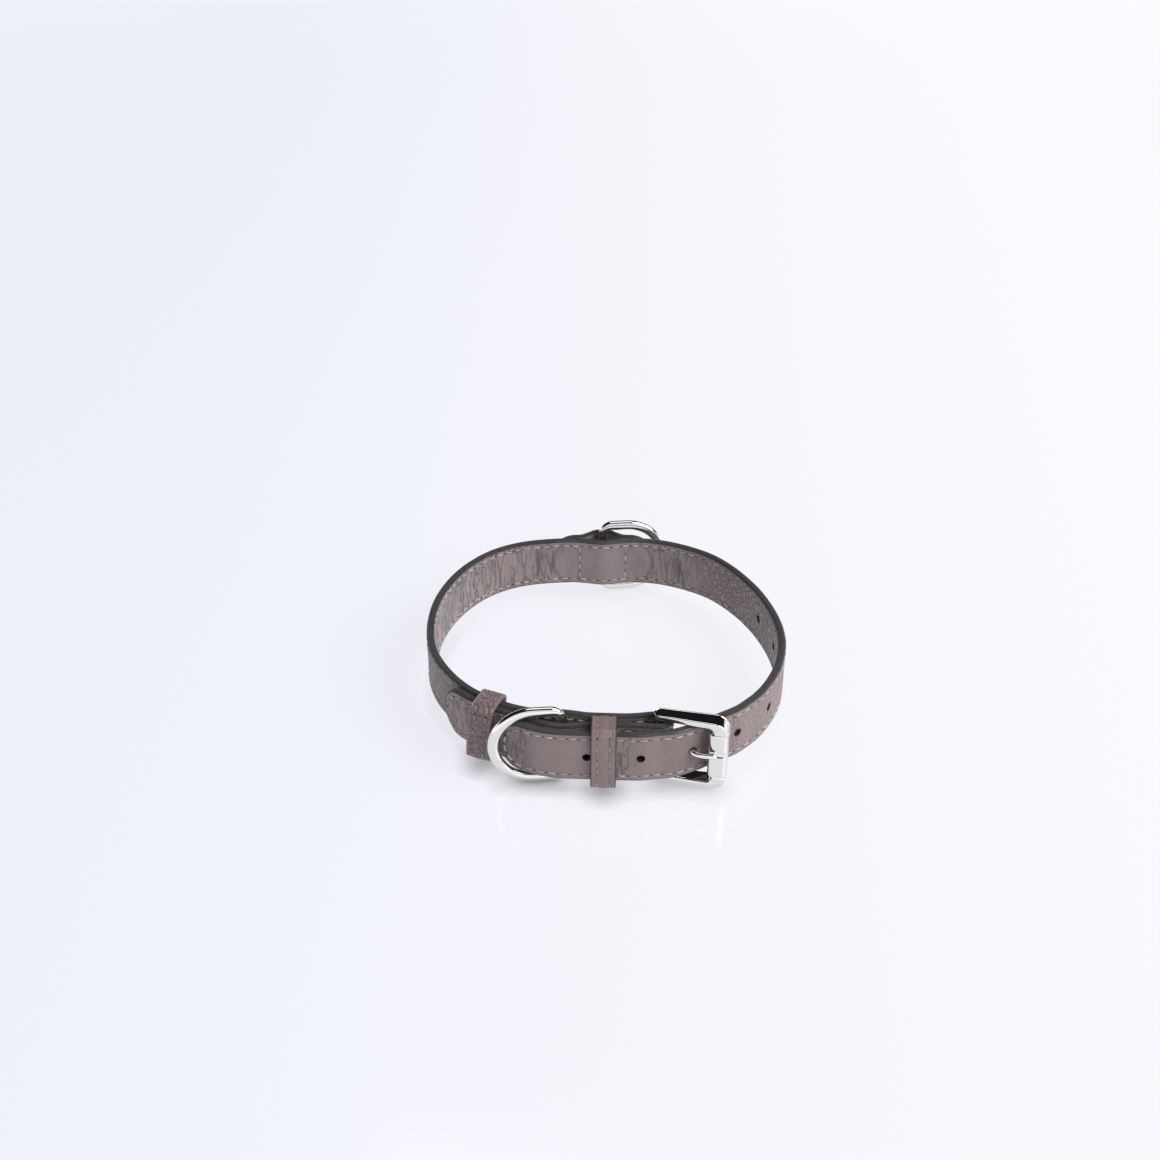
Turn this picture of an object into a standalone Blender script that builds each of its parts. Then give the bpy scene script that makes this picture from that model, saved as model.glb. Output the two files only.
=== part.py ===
"""Dog collar: a stitched leather strap fastened by a pin buckle, standing on its edge.

The origin is the middle of the collar on the surface it stands on. +Z is up, the
buckle is at the front (-Y) and every length is in metres.

The strap is one strip. It starts at the rounded end of the layer folded back from the
buckle, runs to the buckle, turns round its hinge bar, goes once round the neck on the
inside, passes under the outer bar and ends as the tail that lies over the fold. Places
round the collar are turns: shares of the length of the loop's inner face, from the
middle of the front towards -X. Heights over that inner face are offsets.
"""

import math

import bmesh
import bpy
import numpy as np
from mathutils import Matrix, Vector

MM = 0.001

# Loop that the neck goes through
LOOP_WIDTH = 123.7 * MM
LOOP_DEPTH = 105.9 * MM
LOOP_OUTLINE = (
    # across and along, as shares of half the width and half the depth from the origin
    (0.000, -0.963),
    (-0.259, -0.942),
    (-0.501, -0.876),
    (-0.723, -0.720),
    (-0.876, -0.506),
    (-0.970, -0.270),
    (-1.000, 0.000),
    (-0.977, 0.287),
    (-0.886, 0.585),
    (-0.724, 0.835),
    (-0.493, 0.988),
    (-0.194, 1.035),
    (0.081, 1.037),
    (0.323, 1.018),
    (0.542, 0.916),
    (0.719, 0.752),
    (0.883, 0.448),
    (0.975, 0.130),
    (1.000, -0.151),
    (0.964, -0.419),
    (0.892, -0.618),
    (0.770, -0.812),
    (0.550, -0.937),
    (0.275, -0.969),
)

# Leather
STRAP_WIDTH = 20.0 * MM
STRAP_THICK = 2.75 * MM
END_ROUND = 9.0 * MM
PATCH_THICK = 2.0 * MM
PATCH_LENGTH = 40.0 * MM
KEEPER_THICK = 1.2 * MM
KEEPER_WIDTH = 8.6 * MM
KEEPER_EASE = 0.65 * MM
KEEPER_CORNER = 0.9 * MM
CLEAR = 0.3 * MM
STATION = 2.8 * MM
STATION_BEND = math.radians(20.0)
COURSE_STEP = 0.4 * MM

# Punched holes
HOLE_DIAMETER = 3.0 * MM
HOLE_PITCH = 17.95 * MM
HOLES_BEFORE_PRONG = 5
HOLES_AFTER_PRONG = 2

# Buckle
BUCKLE_LENGTH = 20.3 * MM
BUCKLE_EASE = 1.55 * MM
BUCKLE_DROP = 1.05 * MM
BUCKLE_DEPTH = 4.6 * MM
BUCKLE_RIM = 2.4 * MM
BUCKLE_TILT = math.radians(12.2)
BUCKLE_CORNER = 4.6 * MM
BUCKLE_HEEL = 1.9 * MM
BUCKLE_END_ROUND = 1.1 * MM
HINGE_BAR = 3.2 * MM
OUTER_BAR = 6.0 * MM
OUTER_BAR_CORE = 3.6 * MM
SHOULDER_INSET = 2.4 * MM
EDGE_ROUND = 0.8 * MM
PRONG_WIRE = 2.0 * MM
PRONG_EASE = 0.6 * MM
PRONG_HOLE = 0.56
PRONG_SEAT = 3.6 * MM

# Rings shaped like a D
RING_EASE = 2.1 * MM
RING_DROP = 1.0 * MM
RING_LENGTH = 26.9 * MM
RING_WIRE = 3.9 * MM
RING_FLATNESS = 0.72
RING_BAR = 3.0 * MM
RING_CORNER = 4.0 * MM
RING_PLAY = 0.5 * MM
FRONT_RING_TURN = 0.039
FRONT_RING_LEAN = math.radians(10.7)
BACK_RING_TURN = 0.4965
BACK_RING_LEAN = math.radians(5.0)

# Keepers
FRONT_KEEPER_TURN = 0.0022
SIDE_KEEPER_TURN = 0.1085
SIDE_KEEPER_SKEW = math.radians(9.0)
SIDE_KEEPER_SLACK = 1.1 * MM

# The strap's way round. Each row has the turn, then the offset as whole leather
# layers and as keeper gaps, where one gap takes a keeper's wall with its clearance.
HINGE_TURN = -0.0468
HINGE_DIP = 1.3 * MM
FOLDED_END_TURN = 0.147
KEEPER_GAP = KEEPER_THICK + 2 * CLEAR
FOLDED_LAYER = (
    (0.170, 1.0, 0.30),
    (0.147, 1.0, 0.30),
    (0.120, 1.0, 0.25),
    (0.095, 1.0, 0.35),
    (0.070, 1.0, 0.90),
    (0.055, 1.0, 1.50),
    (0.046, 1.0, 1.92),
    (0.039, 1.0, 2.00),
    (0.032, 1.0, 1.90),
    (0.020, 1.0, 1.30),
    (0.008, 1.0, 1.02),
    (-0.004, 1.0, 1.00),
    (-0.016, 1.0, 1.00),
)
FOLD_APPROACH = (0.667, 0.75)  # next to the hinge: share of the way there, and of the rise
BASE_LAYER = (
    (-0.036, 0.0, -0.50),
    (-0.026, 0.0, -0.18),
    (-0.014, 0.0, 0.00),
    (0.000, 0.0, 0.00),
    (0.018, 0.0, -0.06),
    (0.029, 0.0, -0.38),
    (0.039, 0.0, -0.55),
    (0.049, 0.0, -0.38),
    (0.062, 0.0, -0.06),
    (0.080, 0.0, 0.00),
    (0.200, 0.0, 0.00),
    (0.330, 0.0, 0.00),
    (0.440, 0.0, 0.00),
    (0.466, 0.0, 0.00),
    (0.479, 0.0, -0.35),
    (0.4965, 0.0, -0.95),
    (0.514, 0.0, -0.35),
    (0.527, 0.0, 0.00),
    (0.560, 0.0, 0.00),
    (0.700, 0.0, 0.00),
    (0.830, 0.0, 0.00),
)
# The tail's rows start with the way back from the hinge bar as a share of the
# buckle's length, then past the bar with the way on as a share of the tail's reach.
TAIL_REACH = 47.9 * MM
TAIL_OVER_BUCKLE = (
    (1.90, 0.00, 0.00),
    (1.60, 0.00, 0.06),
    (1.45, 0.00, 0.26),
    (1.28, 0.10, 0.50),
    (1.11, 0.25, 0.55),
    (0.88, 0.50, 0.72),
    (0.46, 1.00, 1.92),
    (0.14, 1.75, 1.95),
    (0.00, 1.92, 1.80),
)
TAIL_PAST_HINGE = (
    (0.072, 2.00, 2.00),
    (0.144, 2.00, 2.26),
    (0.254, 2.00, 2.20),
    (0.381, 2.00, 2.14),
    (0.530, 2.00, 2.20),
    (0.678, 2.00, 2.30),
    (0.805, 2.00, 2.05),
    (0.911, 1.95, 1.50),
    (1.017, 1.90, 0.95),
)
PATCH_RISE = (
    # place as a share of half the patch from the ring's bar, and share of the full rise
    (-1.000, 0.0),
    (-0.720, 0.0),
    (-0.440, 0.0),
    (-0.270, 0.42),
    (-0.120, 0.96),
    (0.000, 1.0),
    (0.120, 0.96),
    (0.270, 0.42),
    (0.440, 0.0),
    (0.720, 0.0),
    (1.000, 0.0),
)
PRONG_REST = (
    # along as a share of the buckle's length, out as a share of the prong's seat
    (0.730, 1.16),
    (0.860, 1.10),
    (0.985, 1.00),
)

# Colours
TAUPE = (0.22, 0.175, 0.165)
CHROME = (0.80, 0.80, 0.81)

# Heights that follow from the strap's width. The rings stand on the floor, and the
# strap's middle is over theirs and over the buckle's by what they have dropped.
BUCKLE_HEIGHT = STRAP_WIDTH + 2 * (BUCKLE_EASE + BUCKLE_RIM)
RING_HEIGHT = STRAP_WIDTH + 2 * (RING_EASE + RING_WIRE)
MIDDLE = RING_HEIGHT / 2 + RING_DROP


def clear_scene():
    """Removes what the startup file holds."""
    for obj in list(bpy.data.objects):
        bpy.data.objects.remove(obj, do_unlink=True)


def smooth(knots, closed=False, per_span=16):
    """Points of the cubic spline that passes through the knots, in even steps between them."""
    knots = np.asarray(knots, dtype=float)
    count = len(knots)
    weights = np.zeros((count, count))
    for row in range(count):
        weights[row, (row - 1) % count] += 1 / 6
        weights[row, row] += 4 / 6
        weights[row, (row + 1) % count] += 1 / 6
    if not closed:
        weights[[0, -1]] = 0
        weights[0, 0] = weights[-1, -1] = 1
    guides = np.linalg.solve(weights, knots)
    if closed:
        guides = np.concatenate([guides[-1:], guides, guides[:2]])
    else:
        before = 2 * guides[:1] - guides[1:2]
        after = 2 * guides[-1:] - guides[-2:-1]
        guides = np.concatenate([before, guides, after, after])
    steps = np.arange((count if closed else count - 1) * per_span + 1) / per_span
    span = steps.astype(int)
    span[-1] -= 1
    u = (steps - span)[:, None]
    first, second, third, fourth = (guides[span + shift] for shift in range(4))
    return (
        (1 - u) ** 3 * first
        + (3 * u**3 - 6 * u**2 + 4) * second
        + (-3 * u**3 + 3 * u**2 + 3 * u + 1) * third
        + u**3 * fourth
    ) / 6


def lengths(points):
    """Distance along a line of points, one value a point."""
    steps = np.linalg.norm(np.diff(points, axis=0), axis=1)
    return np.concatenate([[0], np.cumsum(steps)])


LOOP = smooth(np.array(LOOP_OUTLINE) * (LOOP_WIDTH / 2, LOOP_DEPTH / 2), closed=True)
LOOP_LENGTHS = lengths(LOOP)
LOOP_LENGTH = LOOP_LENGTHS[-1]


def loop_point(turn):
    """Points of the loop's inner face at an array of turns."""
    along = np.mod(turn, 1) * LOOP_LENGTH
    return np.stack([np.interp(along, LOOP_LENGTHS, LOOP[:, axis]) for axis in (0, 1)], axis=-1)


def loop_frame(turn):
    """Point, direction and outward normal of the loop's inner face at an array of turns."""
    reach = 0.5 * MM / LOOP_LENGTH
    along = loop_point(turn + reach) - loop_point(turn - reach)
    along /= np.linalg.norm(along, axis=-1, keepdims=True)
    outward = np.stack([-along[..., 1], along[..., 0]], axis=-1)
    return loop_point(turn), along, outward


def place(turn, offset):
    """Plan position at a turn and an offset over the loop's inner face."""
    point, _, outward = loop_frame(np.asarray(turn, dtype=float))
    return point + outward * np.asarray(offset, dtype=float)[..., None]


def inner_offset(layers, gaps):
    """Offset of a layer's inner face from its row in a table."""
    return layers * STRAP_THICK + gaps * KEEPER_GAP


def eased(rows):
    """Closely spaced rows of turn and offset on a curve through the rows given.

    The curve is a cubic in each span. Its slope at a row is the harmonic mean of the
    straight slopes on both sides, and level at a peak, a dip and both ends, so that it
    never swings past the rows."""
    turns, offsets = np.array(sorted(rows)).T
    spans = np.diff(turns)
    straight = np.diff(offsets) / spans
    slopes = np.zeros(len(turns))
    same_way = np.flatnonzero(straight[:-1] * straight[1:] > 0)
    both = 1 / straight[same_way] + 1 / straight[same_way + 1]
    slopes[same_way + 1] = 2 / both
    count = math.ceil((turns[-1] - turns[0]) * LOOP_LENGTH / COURSE_STEP)
    fine = np.linspace(turns[0], turns[-1], count + 1)
    span = np.clip(np.searchsorted(turns, fine, side="right") - 1, 0, len(spans) - 1)
    u = (fine - turns[span]) / spans[span]
    fine_offsets = (
        (1 + 2 * u) * (1 - u) ** 2 * offsets[span]
        + u**2 * (3 - 2 * u) * offsets[span + 1]
        + u * (1 - u) ** 2 * spans[span] * slopes[span]
        - u**2 * (1 - u) * spans[span] * slopes[span + 1]
    )
    return np.stack([fine, fine_offsets], axis=-1)


def tail_turn(past):
    """Turn of a place of the tail that lies this far past the hinge, or before it."""
    return 1 + HINGE_TURN + past / LOOP_LENGTH


# The hinge bar, with the fold round it
FOLD_RADIUS = HINGE_BAR / 2 + CLEAR + STRAP_THICK / 2
HINGE_OFFSET = STRAP_THICK / 2 + FOLD_RADIUS - HINGE_DIP
HINGE = place(HINGE_TURN, HINGE_OFFSET)
FRAME_ALONG = np.array([math.cos(BUCKLE_TILT), -math.sin(BUCKLE_TILT)])
FRAME_OUT = np.array([-math.sin(BUCKLE_TILT), -math.cos(BUCKLE_TILT)])
EYE_RADIUS = (HINGE_BAR + PRONG_WIRE) / 2 + CLEAR


def folded_course():
    """Turns and inner offsets of the folded-back layer, from its rounded end to the hinge."""
    rows = [(turn, inner_offset(layers, gaps)) for turn, layers, gaps in FOLDED_LAYER]
    at_hinge = (HINGE_TURN, HINGE_OFFSET + FOLD_RADIUS - STRAP_THICK / 2)
    near_hinge = tuple(
        last + share * (hinge - last)
        for last, hinge, share in zip(rows[-1], at_hinge, FOLD_APPROACH)
    )
    course = eased([*rows, near_hinge, at_hinge])[::-1]
    return course[course[:, 0] <= FOLDED_END_TURN]


def fold_line():
    """The half turn round the hinge bar, from the folded layer to the base layer."""
    _, along, outward = loop_frame(np.asarray(HINGE_TURN))
    angles = np.linspace(0, math.pi, 14)[1:-1, None]
    return HINGE + FOLD_RADIUS * (np.cos(angles) * outward - np.sin(angles) * along)


def neck_course():
    """Turns and inner offsets from the hinge bar round the neck, and on to the tail's tip."""
    rows = [(HINGE_TURN, -HINGE_DIP)]
    rows += [(turn, inner_offset(layers, gaps)) for turn, layers, gaps in BASE_LAYER]
    for back, layers, gaps in TAIL_OVER_BUCKLE:
        rows.append((tail_turn(-back * BUCKLE_LENGTH), inner_offset(layers, gaps)))
    for past, layers, gaps in TAIL_PAST_HINGE:
        rows.append((tail_turn(past * TAIL_REACH), inner_offset(layers, gaps)))
    course = eased(rows)
    return course[course[:, 0] <= tail_turn(TAIL_REACH)]


def middle_line(course):
    """Plan line of the middle of a layer's thickness."""
    return place(course[:, 0], course[:, 1] + STRAP_THICK / 2)


def outer_offset(course, turn, width):
    """Offset of a layer's outer face at its furthest out, across a width centred on a turn."""
    half = width / 2 / LOOP_LENGTH
    near = np.abs(course[:, 0] - turn) <= half
    return course[near, 1].max() + STRAP_THICK


def resampled(line, marks):
    """Points of a line at the given distances along it."""
    along = lengths(line)
    return np.stack([np.interp(marks, along, line[:, axis]) for axis in (0, 1)], axis=-1)


def end_marks(rounding):
    """Distances from a rounded end, closer together towards its tip, and the half heights."""
    angles = np.radians(np.array([7, 16, 27, 40, 54, 72, 90]))
    return rounding * (1 - np.cos(angles)), np.sin(angles)


def spaced_marks(line, spacing, rounding):
    """Distances along a line between its rounded ends, closer together where it bends."""
    steps = np.diff(line, axis=0)
    headings = np.unwrap(np.arctan2(steps[:, 1], steps[:, 0]))
    bends = np.abs(np.diff(headings, prepend=headings[0]))
    need = np.linalg.norm(steps, axis=1) / spacing + bends / STATION_BEND
    need = np.concatenate([[0], np.cumsum(need)])
    along = lengths(line)
    first, last = np.interp([rounding, along[-1] - rounding], along, need)
    even = np.linspace(first, last, math.ceil(last - first) + 1)
    return np.interp(even[1:-1], need, along)


def ribbon_stations(line, spacing, rounding):
    """Plan points and half-height shares along a line with two rounded ends."""
    ends, shares = end_marks(rounding)
    inner = spaced_marks(line, spacing, rounding)
    marks = np.concatenate([ends, inner, lengths(line)[-1] - ends[::-1]])
    heights = np.concatenate([shares, np.ones(len(inner)), shares[::-1]])
    return resampled(line, marks), heights


def new_object(name, data, collection, colour, roughness, metallic):
    """An object with a material of its own."""
    obj = bpy.data.objects.new(name, data)
    collection.objects.link(obj)
    material = bpy.data.materials.new(name)
    material.use_nodes = True
    shader = material.node_tree.nodes["Principled BSDF"]
    shader.inputs["Base Color"].default_value = (*colour, 1)
    shader.inputs["Roughness"].default_value = roughness
    shader.inputs["Metallic"].default_value = metallic
    data.materials.append(material)
    return obj


def leather(name, data, collection):
    """A leather object."""
    return new_object(name, data, collection, TAUPE, roughness=0.55, metallic=0.0)


def metal(name, data, collection):
    """A chromed object."""
    return new_object(name, data, collection, CHROME, roughness=0.08, metallic=1.0)


def upright_ribbon(name, points, heights):
    """An open mesh that stands on edge along plan points, as high as the strap's shares say."""
    shape = bmesh.new()
    low = []
    for point, share in zip(points, heights):
        low.append(shape.verts.new((point[0], point[1], MIDDLE - share * STRAP_WIDTH / 2)))
    edges = [shape.edges.new(pair) for pair in zip(low, low[1:])]
    raised = bmesh.ops.extrude_edge_only(shape, edges=edges)["geom"]
    for vert in raised:
        if isinstance(vert, bmesh.types.BMVert):
            vert.co.z = 2 * MIDDLE - vert.co.z
    bmesh.ops.recalc_face_normals(shape, faces=shape.faces)
    mesh = bpy.data.meshes.new(name)
    shape.to_mesh(mesh)
    shape.free()
    return mesh


def thicken(obj, thickness):
    """Gives an open surface its wall, half to each side."""
    wall = obj.modifiers.new("wall", "SOLIDIFY")
    wall.thickness = thickness
    wall.offset = 0
    wall.use_even_offset = True


def cutter(name, mesh, collection):
    """A hidden helper that another object's Boolean takes away."""
    obj = bpy.data.objects.new(name, mesh)
    obj.hide_render = True
    obj.display_type = "WIRE"
    collection.objects.link(obj)
    return obj


def join(obj, other, operation):
    """A Boolean of obj with another object."""
    boolean = obj.modifiers.new(other.name, "BOOLEAN")
    boolean.operation = operation
    boolean.solver = "EXACT"
    boolean.object = other


def cylinder(radius, length, sides, name):
    """A cylinder mesh along Z, centred."""
    shape = bmesh.new()
    bmesh.ops.create_cone(
        shape, cap_ends=True, segments=sides, radius1=radius, radius2=radius, depth=length
    )
    mesh = bpy.data.meshes.new(name)
    shape.to_mesh(mesh)
    shape.free()
    return mesh


def box(size, name):
    """A box mesh, centred."""
    shape = bmesh.new()
    bmesh.ops.create_cube(shape, size=1.0, matrix=Matrix.Diagonal((*size, 1)))
    mesh = bpy.data.meshes.new(name)
    shape.to_mesh(mesh)
    shape.free()
    return mesh


def upright_axes(along, origin):
    """A matrix whose X runs along a plan direction, Y up and Z out of that plane."""
    x = Vector((along[0], along[1], 0))
    y = Vector((0, 0, 1))
    matrix = Matrix((x, y, x.cross(y))).transposed().to_4x4()
    matrix.translation = origin
    return matrix


def filleted(corners, steps=5):
    """A closed outline through corners of x, y and radius, each corner rounded by an arc."""
    outline = []
    count = len(corners)
    for index, (x, y, radius) in enumerate(corners):
        corner = np.array([x, y])
        back = np.array(corners[index - 1][:2]) - corner
        ahead = np.array(corners[(index + 1) % count][:2]) - corner
        back /= np.linalg.norm(back)
        ahead /= np.linalg.norm(ahead)
        half = math.acos(np.clip(back @ ahead, -1, 1)) / 2
        middle = (back + ahead) / np.linalg.norm(back + ahead)
        centre = corner + middle * radius / math.sin(half)
        first = corner + back * radius / math.tan(half) - centre
        last = corner + ahead * radius / math.tan(half) - centre
        for share in np.linspace(0, 1, steps + 1):
            spoke = (1 - share) * first + share * last
            outline.append(centre + spoke / np.linalg.norm(spoke) * radius)
    return outline


def flat_curve(name, outlines, depth):
    """A flat filled curve of closed outlines, extruded to a depth."""
    curve = bpy.data.curves.new(name, "CURVE")
    curve.dimensions = "2D"
    curve.fill_mode = "BOTH"
    curve.extrude = depth / 2
    for outline in outlines:
        spline = curve.splines.new("POLY")
        spline.points.add(len(outline) - 1)
        for knot, (x, y) in zip(spline.points, outline):
            knot.co = (x, y, 0, 1)
        spline.use_cyclic_u = True
    return curve


def wire_curve(name, points, wire, closed, widths=None):
    """A round wire along points, with its ends capped."""
    curve = bpy.data.curves.new(name, "CURVE")
    curve.dimensions = "3D"
    curve.bevel_depth = wire / 2
    curve.bevel_resolution = 3
    curve.use_fill_caps = True
    spline = curve.splines.new("POLY")
    spline.points.add(len(points) - 1)
    for index, point in enumerate(points):
        spline.points[index].co = (*point, 1)
        spline.points[index].radius = 1 if widths is None else widths[index]
    spline.use_cyclic_u = closed
    return curve


def meshed(curve, name):
    """The closed mesh of a curve, with its caps welded."""
    source = bpy.data.objects.new("source", curve)
    bpy.context.scene.collection.objects.link(source)
    bpy.context.view_layer.update()
    graph = bpy.context.evaluated_depsgraph_get()
    mesh = bpy.data.meshes.new_from_object(source.evaluated_get(graph))
    mesh.name = name
    mesh.materials.clear()
    bpy.data.objects.remove(source)
    shape = bmesh.new()
    shape.from_mesh(mesh)
    bmesh.ops.remove_doubles(shape, verts=shape.verts, dist=0.005 * MM)
    bmesh.ops.recalc_face_normals(shape, faces=shape.faces)
    shape.to_mesh(mesh)
    shape.free()
    return mesh


def plan_matrix(point, along, height):
    """Axes at a plan point and height: X along a plan direction, Z up."""
    turn = Matrix.Rotation(math.atan2(along[1], along[0]), 4, "Z")
    return Matrix.Translation((point[0], point[1], height)) @ turn


def prong_hole(neck):
    """Index on the neck line of the hole that the prong comes out of."""
    tail = len(neck) * 2 // 3
    along = (neck[tail:] - HINGE) @ FRAME_ALONG
    return tail + int(np.argmin(np.abs(along - PRONG_HOLE * BUCKLE_LENGTH)))


def prong_line(neck):
    """Plan line of the prong, from its eye through its hole to its seat on the outer bar."""
    hole = neck[prong_hole(neck)]
    out = (hole - HINGE) / np.linalg.norm(hole - HINGE)
    eye = HINGE + out * EYE_RADIUS
    rest = [
        HINGE + FRAME_ALONG * along * BUCKLE_LENGTH + FRAME_OUT * rise * PRONG_SEAT
        for along, rise in PRONG_REST
    ]
    return smooth([eye, hole, *rest], per_span=5)


def punched(obj, name, point, along, radius, turn_axis, cutters):
    """Cuts a round hole at a plan point, its axis turned from the direction along."""
    tool = cutter(name, cylinder(radius, 3 * STRAP_THICK, 12, name), cutters)
    tool.matrix_world = plan_matrix(point, along, MIDDLE) @ Matrix.Rotation(
        math.pi / 2, 4, turn_axis
    )
    join(obj, tool, "DIFFERENCE")


def strap(parts, cutters):
    """The one leather strip, with its punched holes and the slot in its fold."""
    neck = middle_line(neck_course())
    line = np.concatenate([middle_line(folded_course()), fold_line(), neck])
    points, heights = ribbon_stations(line, STATION, END_ROUND)
    obj = leather("strap", upright_ribbon("strap", points, heights), parts)
    thicken(obj, STRAP_THICK)
    middle_hole = lengths(neck)[prong_hole(neck)]
    for step in range(-HOLES_BEFORE_PRONG, HOLES_AFTER_PRONG + 1):
        if step == 0:
            continue
        mark = middle_hole + step * HOLE_PITCH
        near = resampled(neck, [mark - MM, mark, mark + MM])
        name = f"hole_{step + HOLES_BEFORE_PRONG}"
        punched(obj, name, near[1], near[2] - near[0], HOLE_DIAMETER / 2, "X", cutters)
    hole = neck[prong_hole(neck)]
    prong = prong_line(neck)
    nearest = int(np.argmin(np.linalg.norm(prong - hole, axis=1)))
    direction = prong[nearest + 1] - prong[nearest - 1]
    stretched = PRONG_WIRE / 2 + PRONG_EASE
    punched(obj, "prong_hole", hole, direction, stretched, "Y", cutters)
    eye = EYE_RADIUS + PRONG_WIRE / 2 + PRONG_EASE
    fold = FOLD_RADIUS + STRAP_THICK / 2 + CLEAR
    size = (eye + fold, 2 * fold, PRONG_WIRE + 2 * PRONG_EASE)
    slot = cutter("prong_slot", box(size, "prong_slot"), cutters)
    slot.location = (HINGE[0] + (fold - eye) / 2, HINGE[1], MIDDLE)
    join(obj, slot, "DIFFERENCE")
    return obj


def patch_line():
    """Plan line of the back patch's middle, raised over the ring's bar."""
    half = PATCH_LENGTH / 2 / LOOP_LENGTH
    flat = STRAP_THICK + CLEAR + PATCH_THICK / 2
    full = back_ring_offset() + RING_BAR / 2 + CLEAR + PATCH_THICK / 2 - flat
    rows = [(BACK_RING_TURN + share * half, flat + rise * full) for share, rise in PATCH_RISE]
    course = eased(rows)
    return place(course[:, 0], course[:, 1])


def back_patch(parts):
    """The leather patch with round ends that holds the back ring on the outside."""
    points, heights = ribbon_stations(patch_line(), STATION / 2, STRAP_WIDTH / 2)
    obj = leather("back_patch", upright_ribbon("back_patch", points, heights), parts)
    thicken(obj, PATCH_THICK)
    return obj


def keeper(name, turn, skew, inner, outer, height, parts):
    """A leather loop round the layers between two offsets, open along the strap."""
    depth = outer - inner
    opening = STRAP_WIDTH + 2 * KEEPER_EASE
    outlines = []
    for wall, radius in ((KEEPER_THICK, KEEPER_CORNER + KEEPER_THICK), (0, KEEPER_CORNER)):
        x = depth / 2 + wall
        y = opening / 2 + wall
        outlines.append(
            filleted([(-x, -y, radius), (x, -y, radius), (x, y, radius), (-x, y, radius)])
        )
    obj = leather(name, flat_curve(name, outlines, KEEPER_WIDTH), parts)
    _, _, outward = loop_frame(np.asarray(turn))
    centre = place(turn, (inner + outer) / 2)
    facing = Matrix.Rotation(skew, 2) @ Vector(outward)
    obj.matrix_world = upright_axes(facing, (*centre, height))
    return obj


def front_keeper(parts):
    """The fixed keeper: its inner wall is sewn in between the base and folded layers."""
    inner = STRAP_THICK + CLEAR + KEEPER_THICK
    outer = outer_offset(neck_course(), 1 + FRONT_KEEPER_TURN, KEEPER_WIDTH) + CLEAR
    return keeper("front_keeper", FRONT_KEEPER_TURN, 0.0, inner, outer, MIDDLE, parts)


def side_keeper(parts):
    """The loose keeper that hangs round the base and folded layers, empty of the tail."""
    room = 2 * CLEAR + KEEPER_WIDTH / 2 * math.sin(SIDE_KEEPER_SKEW)
    outer = outer_offset(folded_course(), SIDE_KEEPER_TURN, KEEPER_WIDTH)
    outer += room + SIDE_KEEPER_SLACK
    hanging = MIDDLE - KEEPER_EASE + CLEAR
    return keeper(
        "side_keeper", SIDE_KEEPER_TURN, SIDE_KEEPER_SKEW, -room, outer, hanging, parts
    )


def ring_outline():
    """Points and wire widths of a D about the middle of its bar, its arc towards +X."""
    half = (RING_HEIGHT - RING_WIRE) / 2
    reach = RING_LENGTH - (RING_BAR + RING_WIRE) / 2
    centre = reach - half
    outline = [(0.0, 0.0)]
    widths = [RING_BAR / RING_WIRE]
    for share in np.linspace(0, 1, 6):
        angle = math.pi * (1 - share / 2)
        x = RING_CORNER * (1 + math.cos(angle))
        outline.append((x, half - RING_CORNER * (1 - math.sin(angle))))
        widths.append(RING_BAR / RING_WIRE * (1 - share) + share)
    for angle in np.radians(np.linspace(90, 0, 11)):
        outline.append((centre + half * math.cos(angle), half * math.sin(angle)))
        widths.append(1.0)
    lower = [(x, -y) for x, y in outline[-2:0:-1]]
    return outline + lower, widths + widths[-2:0:-1]


def ring(name, turn, offset, heading, parts):
    """A chromed D ring with its origin on its bar, which is the axis it swings about."""
    outline, widths = ring_outline()
    points = [(x, 0, z) for x, z in outline]
    mesh = meshed(wire_curve(name, points, RING_WIRE, True, widths), name)
    mesh.transform(Matrix.Diagonal((1, RING_FLATNESS, 1, 1)))
    mesh.shade_smooth()
    obj = metal(name, mesh, parts)
    centre = place(turn, offset)
    direction = np.array([math.cos(heading), math.sin(heading)])
    obj.matrix_world = plan_matrix(centre, direction, RING_HEIGHT / 2)
    return obj


def front_ring(parts):
    """The ring held in front by the folded layer, its arc over the tail's tip."""
    inside = outer_offset(folded_course(), FRONT_RING_TURN, RING_BAR) - STRAP_THICK
    offset = inside - RING_PLAY - RING_BAR / 2
    _, along, _ = loop_frame(np.asarray(FRONT_RING_TURN))
    heading = math.atan2(along[1], along[0]) + FRONT_RING_LEAN
    return ring("front_ring", FRONT_RING_TURN, offset, heading, parts)


def back_ring_offset():
    """Offset of the back ring's bar over the loop's inner face."""
    return STRAP_THICK + CLEAR + RING_PLAY + RING_BAR / 2


def back_ring(parts):
    """The ring held at the back by the patch, its arc towards the right."""
    _, along, _ = loop_frame(np.asarray(BACK_RING_TURN))
    heading = math.atan2(along[1], along[0]) + BACK_RING_LEAN
    return ring("back_ring", BACK_RING_TURN, back_ring_offset(), heading, parts)


def frame_place(along, out):
    """Plan position in the buckle: along it from the hinge bar, and out from its plane."""
    return HINGE + FRAME_ALONG * along + FRAME_OUT * out


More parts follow.
